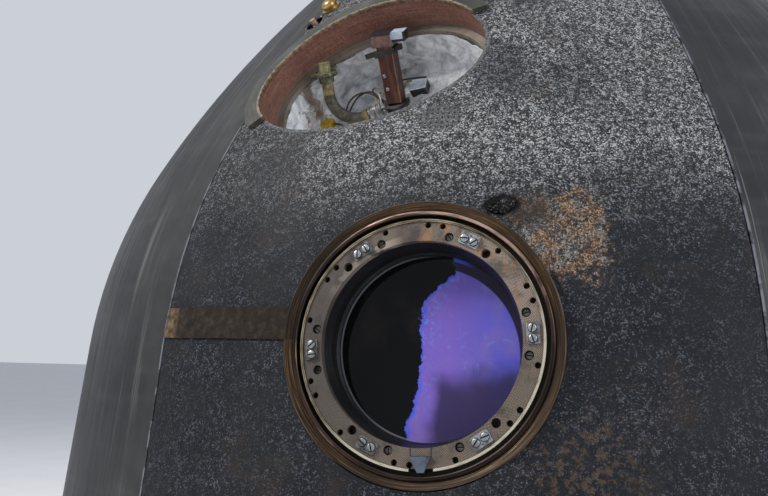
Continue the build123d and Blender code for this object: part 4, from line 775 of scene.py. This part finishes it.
# Painted shade: near black, for screw slots and the seats under the clip screws.
PAINTED_SLOT_SHADE = metal("painted_slot_shade", (0.02, 0.018, 0.016), (0.008, 0.007, 0.006), 0.7, 0.0, grain=900)
OLIVE = metal("olive_lug", (0.12, 0.118, 0.06), (0.04, 0.04, 0.022), 0.45, 0.15)
TAN_WRAP = metal("tan_wrap", (0.34, 0.26, 0.11), (0.15, 0.105, 0.045), 0.55, 0.0)
BEIGE = metal("beige_lead", (0.36, 0.3, 0.21), (0.18, 0.145, 0.1), 0.6, 0.0)
BROWN = metal("brown_lead", (0.13, 0.075, 0.04), (0.06, 0.035, 0.022), 0.55, 0.0)
DARK = metal("dark_lead", (0.02, 0.019, 0.018), (0.05, 0.045, 0.04), 0.5, 0.0)
WHITE = metal("white_lead", (0.52, 0.52, 0.49), (0.34, 0.33, 0.3), 0.5, 0.0)


def only(*items):
    """Leaves these objects selected, and the first of them active."""
    bpy.ops.object.select_all(action="DESELECT")
    for item in items:
        item.select_set(True)
    bpy.context.view_layer.objects.active = items[0]


@contextmanager
def picked(item, test, mode="FACE"):
    """Edit mode on what a test keeps: faces by centre and normal, or edges by middle and rise."""
    only(item)
    bpy.ops.object.mode_set(mode="EDIT")
    bpy.ops.mesh.select_mode(type=mode)
    bpy.ops.mesh.select_all(action="DESELECT")
    mesh = bmesh.from_edit_mesh(item.data)
    if mode == "FACE":
        for face in mesh.faces:
            face.select_set(bool(test(face.calc_center_median(), face.normal)))
    else:
        for edge in mesh.edges:
            a, b = (vert.co for vert in edge.verts)
            edge.select_set(bool(test((a + b) / 2, abs((a - b).z))))
    bmesh.update_edit_mesh(item.data)
    yield
    bpy.ops.object.mode_set(mode="OBJECT")


def apply(item, kind, **settings):
    """Adds a modifier and applies it."""
    bpy.context.view_layer.objects.active = item
    modifier = adjust(item.modifiers.new(kind.lower(), kind), settings)
    bpy.ops.object.modifier_apply(modifier=modifier.name)


def bevel(item, width, angle=30):
    apply(item, "BEVEL", width=width, segments=2, limit_method="ANGLE", angle_limit=radians(angle))


def crumple(item, name, kind, strength, mid_level, group="", **settings):
    """Pushes a surface in and out by a texture, all of it or one vertex group."""
    texture = adjust(bpy.data.textures.new(name, kind), settings)
    apply(item, "DISPLACE", texture=texture, texture_coords="LOCAL", strength=strength,
          mid_level=mid_level, vertex_group=group)


def smooth(item):
    only(item)
    bpy.ops.object.shade_smooth_by_angle(angle=radians(35))
    return item


def cylinder(vertices, radius, depth, z=0.0, **settings):
    bpy.ops.mesh.primitive_cylinder_add(vertices=vertices, radius=radius, depth=depth, location=(0, 0, z),
                                        **settings)
    return bpy.context.object


def stretch(item, scale):
    item.scale = scale
    only(item)
    bpy.ops.object.transform_apply()


def settle(item, matrix):
    """Puts a piece at its place, with the place in its mesh."""
    item.matrix_world = matrix @ item.matrix_world
    only(item)
    bpy.ops.object.transform_apply()


def copies(template, name, matrices, body="capsule"):
    """One piece made of a template's copies, each at its own matrix."""
    made = []
    for matrix in matrices:
        only(template)
        bpy.ops.object.duplicate()
        settle(bpy.context.object, matrix)
        made.append(bpy.context.object)
    only(*made)
    if len(made) > 1:
        bpy.ops.object.join()
    piece = bpy.context.object
    piece.name = piece.data.name = name
    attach(piece, body)


def raise_top(item, inset, rise):
    """Draws a head's top face in and up."""
    with picked(item, lambda c, n: n.z > 0.9):
        bpy.ops.mesh.inset(thickness=inset, depth=0.0)
        bpy.ops.transform.translate(value=(0, 0, rise))


def screw(radius, height, slot_width, material):
    """Slotted pan head whose underside is at the origin, with painted shade in its slot."""
    head = cylinder(40, radius, height, height / 2)
    raise_top(head, radius * 0.22, height * 0.16)
    bevel(head, height * 0.22, 40)
    bpy.ops.mesh.primitive_cube_add(size=1.0, location=(0, 0, height * 1.1),
                                    scale=(radius * 3, slot_width, height))
    blade = bpy.context.object
    bpy.ops.object.transform_apply()
    apply(head, "BOOLEAN", object=blade, operation="DIFFERENCE")
    bpy.data.objects.remove(blade)
    coat(head, material, PAINTED_SLOT_SHADE)
    with picked(head, lambda c, n: abs(c.y) < slot_width * 0.51 and abs(c.x) < radius * 0.97
                and 0.0 < c.z < height * 0.6 and (n.z > 0.9 or abs(n.y) > 0.9)):
        head.active_material_index = 1
        bpy.ops.object.material_slot_assign()
    return smooth(head)


def hex_bolt(radius, height, shank=0.0):
    """Hexagon head on a washer, its underside at the origin, with a shank below."""
    washer = cylinder(32, radius * 1.3, height * 0.25, height * 0.125)
    if shank:
        with picked(washer, lambda c, n: n.z < -0.9):
            bpy.ops.mesh.inset(thickness=radius * 0.35, depth=0.0)
            bpy.ops.mesh.extrude_region_move(TRANSFORM_OT_translate={"value": (0, 0, -shank)})
    bevel(washer, height * 0.07)
    head = cylinder(6, radius, height * 0.8, height * 0.62)
    raise_top(head, radius * 0.12, height * 0.07)
    bevel(head, height * 0.05)
    only(head, washer)
    bpy.ops.object.join()
    coat(head, DARK_STEEL)
    return head


def sleeve(radius, length, wall, material, ribs):
    """Ring that slips over a pipe, its middle at the origin, with raised bands."""
    ring = cylinder(64, radius, length, end_fill_type="NOTHING")
    with picked(ring, lambda c, rise: rise > length / 2, "EDGE"):
        bpy.ops.mesh.subdivide(number_cuts=4 * ribs - 1, smoothness=0.0)
    step = length / (4 * ribs)
    with picked(ring, lambda c, n: round((c.z + length / 2) / step - 0.5) % 4 in (1, 2)):
        bpy.ops.mesh.extrude_region_shrink_fatten(TRANSFORM_OT_shrink_fatten={"value": -wall * 0.5})
    apply(ring, "SOLIDIFY", thickness=wall, offset=1.0)
    bevel(ring, wall * 0.2, 40)
    coat(ring, material)
    return smooth(ring)


def wire(name, radius, material, *points, slot="hose"):
    """A lead on points across, up and out of the port in millimetres."""
    curve = bpy.data.curves.new(name, "CURVE")
    curve.dimensions = "3D"
    spline = curve.splines.new("NURBS")
    spline.points.add(len(points) - 1)
    for point, (x, y, h) in zip(spline.points, points):
        point.co = (*PORT.point(x / 1000, y / 1000, h / 1000), 1.0)
    adjust(spline, {"order_u": 3, "use_endpoint_u": True})
    adjust(curve, {"bevel_depth": radius, "bevel_resolution": 3, "use_fill_caps": True, "resolution_u": 8})
    lead = bpy.data.objects.new(name, curve)
    bpy.context.scene.collection.objects.link(lead)
    only(lead)
    bpy.ops.object.convert(target="MESH")
    lead = bpy.context.object
    lead.name = lead.data.name = name
    coat(lead, material)
    bpy.ops.object.shade_smooth()
    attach(lead, "capsule")


# Window fasteners: two slotted screws and a pin on each clip, recessed heads in some of the ring's holes
CLIP_TOP, SUNK_DEPTH = -0.0062, -0.0165
CLIP_CIRCLE, SUNK_CIRCLE, PIN_CIRCLE, HALF_PITCH = 0.1565, 0.152, 0.163, 0.0072
SEAT_RADIUS, SEAT_HEIGHT, SEAT_EDGE, SEAT_DIP = 0.0064, 0.0009, 0.0007, -0.0002
big = screw(0.0056, 0.0024, 0.002, SCREW_STEEL)
sunk = screw(0.0056, 0.003, 0.0016, DARK_STEEL)
# Seat: a thin near-black disc under each clip screw, painted shade showing as a ring round its head.
seat = cylinder(40, SEAT_RADIUS, SEAT_HEIGHT)
raise_top(seat, SEAT_EDGE, SEAT_DIP)
coat(seat, PAINTED_SLOT_SHADE)
pin = screw(0.0013, 0.0012, 0.0003, DARK_STEEL)
for name, place in WINDOWS.items():
    heads, pins, deep = [], [], []
    for k in range(6):
        middle = radians(5 + 60 * k)
        for side in (-1, 1):
            angle = middle + side * HALF_PITCH / PLATE_CIRCLE
            heads.append(place.spot(CLIP_CIRCLE, angle, CLIP_TOP, radians(37 * k + 70 * side)))
            if (k + side) % 3:
                beside = middle + radians(11) * side
                deep.append(place.spot(SUNK_CIRCLE, beside, SUNK_DEPTH, radians(50 * k)))
        pins.append(place.spot(PIN_CIRCLE, middle, CLIP_TOP, -middle))
    copies(big, f"{name}_clip_screws", heads)
    copies(seat, f"{name}_clip_seats", heads)
    copies(pin, f"{name}_clip_pins", pins)
    copies(sunk, f"{name}_sunk_screws", deep)

# Hatch: key socket in the middle of the cover's outer face
boss = sleeve(0.036, 0.016, 0.009, DARK_STEEL, ribs=1)
copies(boss, "hatch_key_boss", [HATCH.matrix(h=0.006)], "hatch")
key = hex_bolt(0.019, 0.013)
copies(key, "hatch_key_hexagon", [HATCH.matrix(h=-0.001)], "hatch")
stud = hex_bolt(0.0052, 0.0052)
copies(stud, "hatch_key_bolts", HATCH.ring(0.056, 8, -0.0022), "hatch")

# Bolts of the umbilical plate and the periscope
small = hex_bolt(0.0042, 0.004)
copies(small, "periscope_bolts", PERISCOPE.ring(0.0615, 12, 0.008))
corners = [(x, y) for x in (-0.108, -0.036, 0.036, 0.108) for y in (-0.068, 0.068)]
copies(small, "umbilical_bolts", [UMBILICAL.matrix(x, y, -0.0217) for x, y in corners])

# Port: crumpled foil bag that lines the well, its floor's corner rounded
BAG_RADII, BAG_HEIGHT, BAG_MIDDLE, FLOOR_RINGS = (0.2035, 0.1515), 0.083, -0.1275, 10
bag_floor = BAG_MIDDLE - BAG_HEIGHT / 2
bag = cylinder(112, 1.0, BAG_HEIGHT, BAG_MIDDLE)
with picked(bag, lambda c, n: n.z > 0.9):
    bpy.ops.mesh.delete(type="FACE")
stretch(bag, (*BAG_RADII, 1.0))
with picked(bag, lambda c, rise: c.z < bag_floor + 0.0005 and rise < 0.001, "EDGE"):
    bpy.ops.mesh.bevel(offset=0.016, segments=5, profile=0.5, affect="EDGES")
with picked(bag, lambda c, rise: rise > 0.05, "EDGE"):
    bpy.ops.mesh.subdivide(number_cuts=7)
with picked(bag, lambda c, n: n.z < -0.99 and abs(c.x) < 0.001 and abs(c.y) < 0.001):
    for ring in range(FLOOR_RINGS):
        shrink = (FLOOR_RINGS - ring) / (FLOOR_RINGS + 1.0 - ring)
        bpy.ops.mesh.inset(thickness=0.0001, depth=0.0)
        bpy.ops.transform.resize(value=(shrink, shrink, 1.0), center_override=(0.0, 0.0, bag_floor))
apply(bag, "SUBSURF", levels=2, render_levels=2, subdivision_type="CATMULL_CLARK")
wall = bag.vertex_groups.new(name="wall")
wall.add([v.index for v in bag.data.vertices if v.co.z > -0.155], 1.0, "REPLACE")
crumple(bag, "wide_folds", "CLOUDS", -0.022, 0.3, "wall", noise_scale=0.045, noise_depth=2)
crumple(bag, "tight_folds", "CLOUDS", -0.006, 0.3, noise_scale=0.016, noise_depth=3)
crumple(bag, "facets", "VORONOI", -0.008, 0.1, noise_scale=0.03, weight_1=-1.0, weight_2=1.0)
bag.vertex_groups.clear()
apply(bag, "SOLIDIFY", thickness=0.0006, offset=0.0)
bag.name = bag.data.name = "port_foil_bag"
coat(bag, FOIL)
settle(bag, PORT.matrix())
bpy.ops.object.shade_smooth()
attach(bag, "capsule")

# Port: screws on the post, bolts and ears of the hose's flange, ferrule and collars at the hose's end
POST_FACE = -0.0154
FLANGE_TOP = (Vector(FITTING_HEAD) - Vector(FITTING_FOOT)).length + 0.006
post_side = Matrix((POST.x, POST.n, -POST.y)).transposed().to_4x4()
heads = [Matrix.Translation(POST.point(across, POST_FACE, along)) @ post_side @ Matrix.Rotation(turn, 4, "Z")
         for across, along, turn in ((-0.008, 0.053, 0.5), (-0.0062, 0.028, -0.4))]
button = screw(0.0034, 0.0022, 0.0007, SCREW_STEEL)
copies(button, "port_post_screws", heads)
lug = hex_bolt(0.0026, 0.0024, shank=0.009)
copies(lug, "port_flange_bolts", FITTING.ring(0.0165, 6, FLANGE_TOP, 20))
ear = cylinder(24, 0.0042, 0.005)
with picked(ear, lambda c, n: abs(n.z) < 0.1 and n.x < -0.3):
    bpy.ops.mesh.extrude_region_move(TRANSFORM_OT_translate={"value": (-0.004, 0, 0)})
bevel(ear, 0.0006)
coat(ear, OLIVE)
copies(ear, "port_flange_ears", FITTING.ring(0.0245, 3, FLANGE_TOP - 0.003, -20))
ferrule = sleeve(0.0113, 0.01, 0.0016, TAN_WRAP, ribs=2)
copies(ferrule, "port_hose_ferrule", [HOSE_RUN.matrix(h=-0.0065)])
collar = sleeve(0.0128, 0.006, 0.0014, SCREW_STEEL, ribs=1)
copies(collar, "port_plug_collars", [HOSE_RUN.matrix(h=0.006), HOSE_RUN.matrix(h=0.018)])

# Port: leads, cables and the thin rod round the post's foot
wire("port_lead_brown", 0.0017, BROWN, (-126, 56, -168), (-122, 68, -152), (-104, 84, -143), (-78, 86, -141),
     (-54, 72, -146), (-37, 66, -162))
wire("port_lead_dark", 0.0015, DARK, (-125, 60, -170), (-108, 82, -152), (-76, 90, -143), (-56, 78, -144),
     (-42, 60, -150), (-35, 52, -164))
wire("port_lead_beige", 0.0018, BEIGE, (-74, 104, -168), (-70, 94, -150), (-58, 92, -140), (-46, 84, -142),
     (-38, 74, -150), (-35, 72, -162))
wire("port_lead_beige_low", 0.0016, BEIGE, (-48, 34, -160), (-44, 46, -146), (-52, 60, -140), (-60, 74, -146),
     (-66, 86, -158), (-62, 96, -168))
wire("port_lead_pale", 0.0014, WHITE, (-44, 42, -156), (-38, 50, -142), (-44, 66, -138), (-54, 80, -148),
     (-50, 96, -160), (-46, 104, -168))
wire("port_lead_plug", 0.0022, DARK, (-43, 42.8, -156), (-36, 44, -153), (-30, 38, -158), (-26, 33, -167))
wire("port_rod", 0.0018, DARK, (-44, 112, -160), (-20, 108, -151), (12, 104, -149), (43, 98, -149))
wire("port_cable_right", 0.0019, BEIGE, (-6, 84, -158), (0, 92, -150), (8, 98, -146), (14, 96, -149))
wire("port_cable_left", 0.0015, WHITE, (-160, 78, -128), (-166, 66, -142), (-166, 54, -154), (-172, 42, -160),
     (-172, 38, -162))
wire("port_cable_yellow", 0.0016, DARK, (-148, 40, -163), (-138, 34, -158), (-126, 30, -162), (-112, 24, -168))

# Lumpy burnt crust at the window frame's edge
bpy.ops.mesh.primitive_ico_sphere_add(subdivisions=5, radius=1.0)
crust = bpy.context.object
stretch(crust, (0.021, 0.013, 0.0052))
crumple(crust, "crust_lumps", "CLOUDS", 0.014, 0.6, noise_scale=0.014, noise_depth=2)
coat(crust, metal("burnt_crust", (0.0015, 0.0013, 0.0012), (0.01, 0.006, 0.004), 0.32, 0.0, grain=110,
                  wear=(0.5, 0.64), gloss=0.22))
crust.name = crust.data.name = "burnt_crust"
settle(crust, Place(6.45, 1.0415).matrix(h=0.0004, turn=radians(24)))
bpy.ops.object.shade_smooth()
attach(crust, "capsule")

# Socket beyond the port: two pale screws beside its pin
tiny = screw(0.0032, 0.0016, 0.0006, SCREW_STEEL)
copies(tiny, "socket_screws", [VENT_SOCKET.spot(0.0205, radians(a), -0.001) for a in (75, -50)])
for item in (big, seat, sunk, pin, boss, key, stud, small, button, lug, ear, ferrule, collar, tiny):
    bpy.data.objects.remove(item)

# Floor, background and light
bpy.ops.mesh.primitive_plane_add(size=60, location=(0, 0, 0))
floor = bpy.context.active_object
floor.name = "floor"
g = Graph("floor_paint_pale", Roughness=0.7)
coat(floor, g.done(g.blend(g.noise(2), 0.3, 0.7, (0.7, 0.7, 0.71), (0.74, 0.74, 0.74))))

SEEN_SKY, LIGHTING_SKY, SKY_STRENGTH = (0.62, 0.66, 0.74, 1.0), (0.8, 0.84, 0.9, 1.0), 0.75
world = bpy.data.worlds.new("world")
world.use_nodes = True
bpy.context.scene.world = world
tree = world.node_tree
background = tree.nodes["Background"]
light_path = tree.nodes.new("ShaderNodeLightPath")
mix = tree.nodes.new("ShaderNodeMix")
mix.data_type = "RGBA"
tree.links.new(light_path.outputs["Is Camera Ray"], mix.inputs[0])
mix.inputs[6].default_value = SEEN_SKY
mix.inputs[7].default_value = LIGHTING_SKY
tree.links.new(mix.outputs[2], background.inputs["Color"])
background.inputs["Strength"].default_value = SKY_STRENGTH

HULL_MIDDLE = (0.0, 0.0, 0.9)


def lamp(name, place, size, watts, colour=(1.0, 1.0, 1.0)):
    """Round soft lamp that points at the hull's middle."""
    data = adjust(bpy.data.lights.new(name, "AREA"),
                  {"shape": "DISK", "size": size, "energy": watts, "color": colour})
    item = bpy.data.objects.new(name, data)
    item.location = place
    item.rotation_euler = (Vector(HULL_MIDDLE) - Vector(place)).to_track_quat("-Z", "Y").to_euler()
    bpy.context.scene.collection.objects.link(item)


lamp("key", (-3.6, -3.4, 5), 1.6, 260, (1.0, 0.97, 0.92))
lamp("fill", (4.2, -3, 2.6), 2.4, 90, (0.93, 0.96, 1.0))
lamp("back", (0.5, 4.5, 4), 2.4, 160)

view = bpy.context.scene.view_settings
view.view_transform = "Standard"
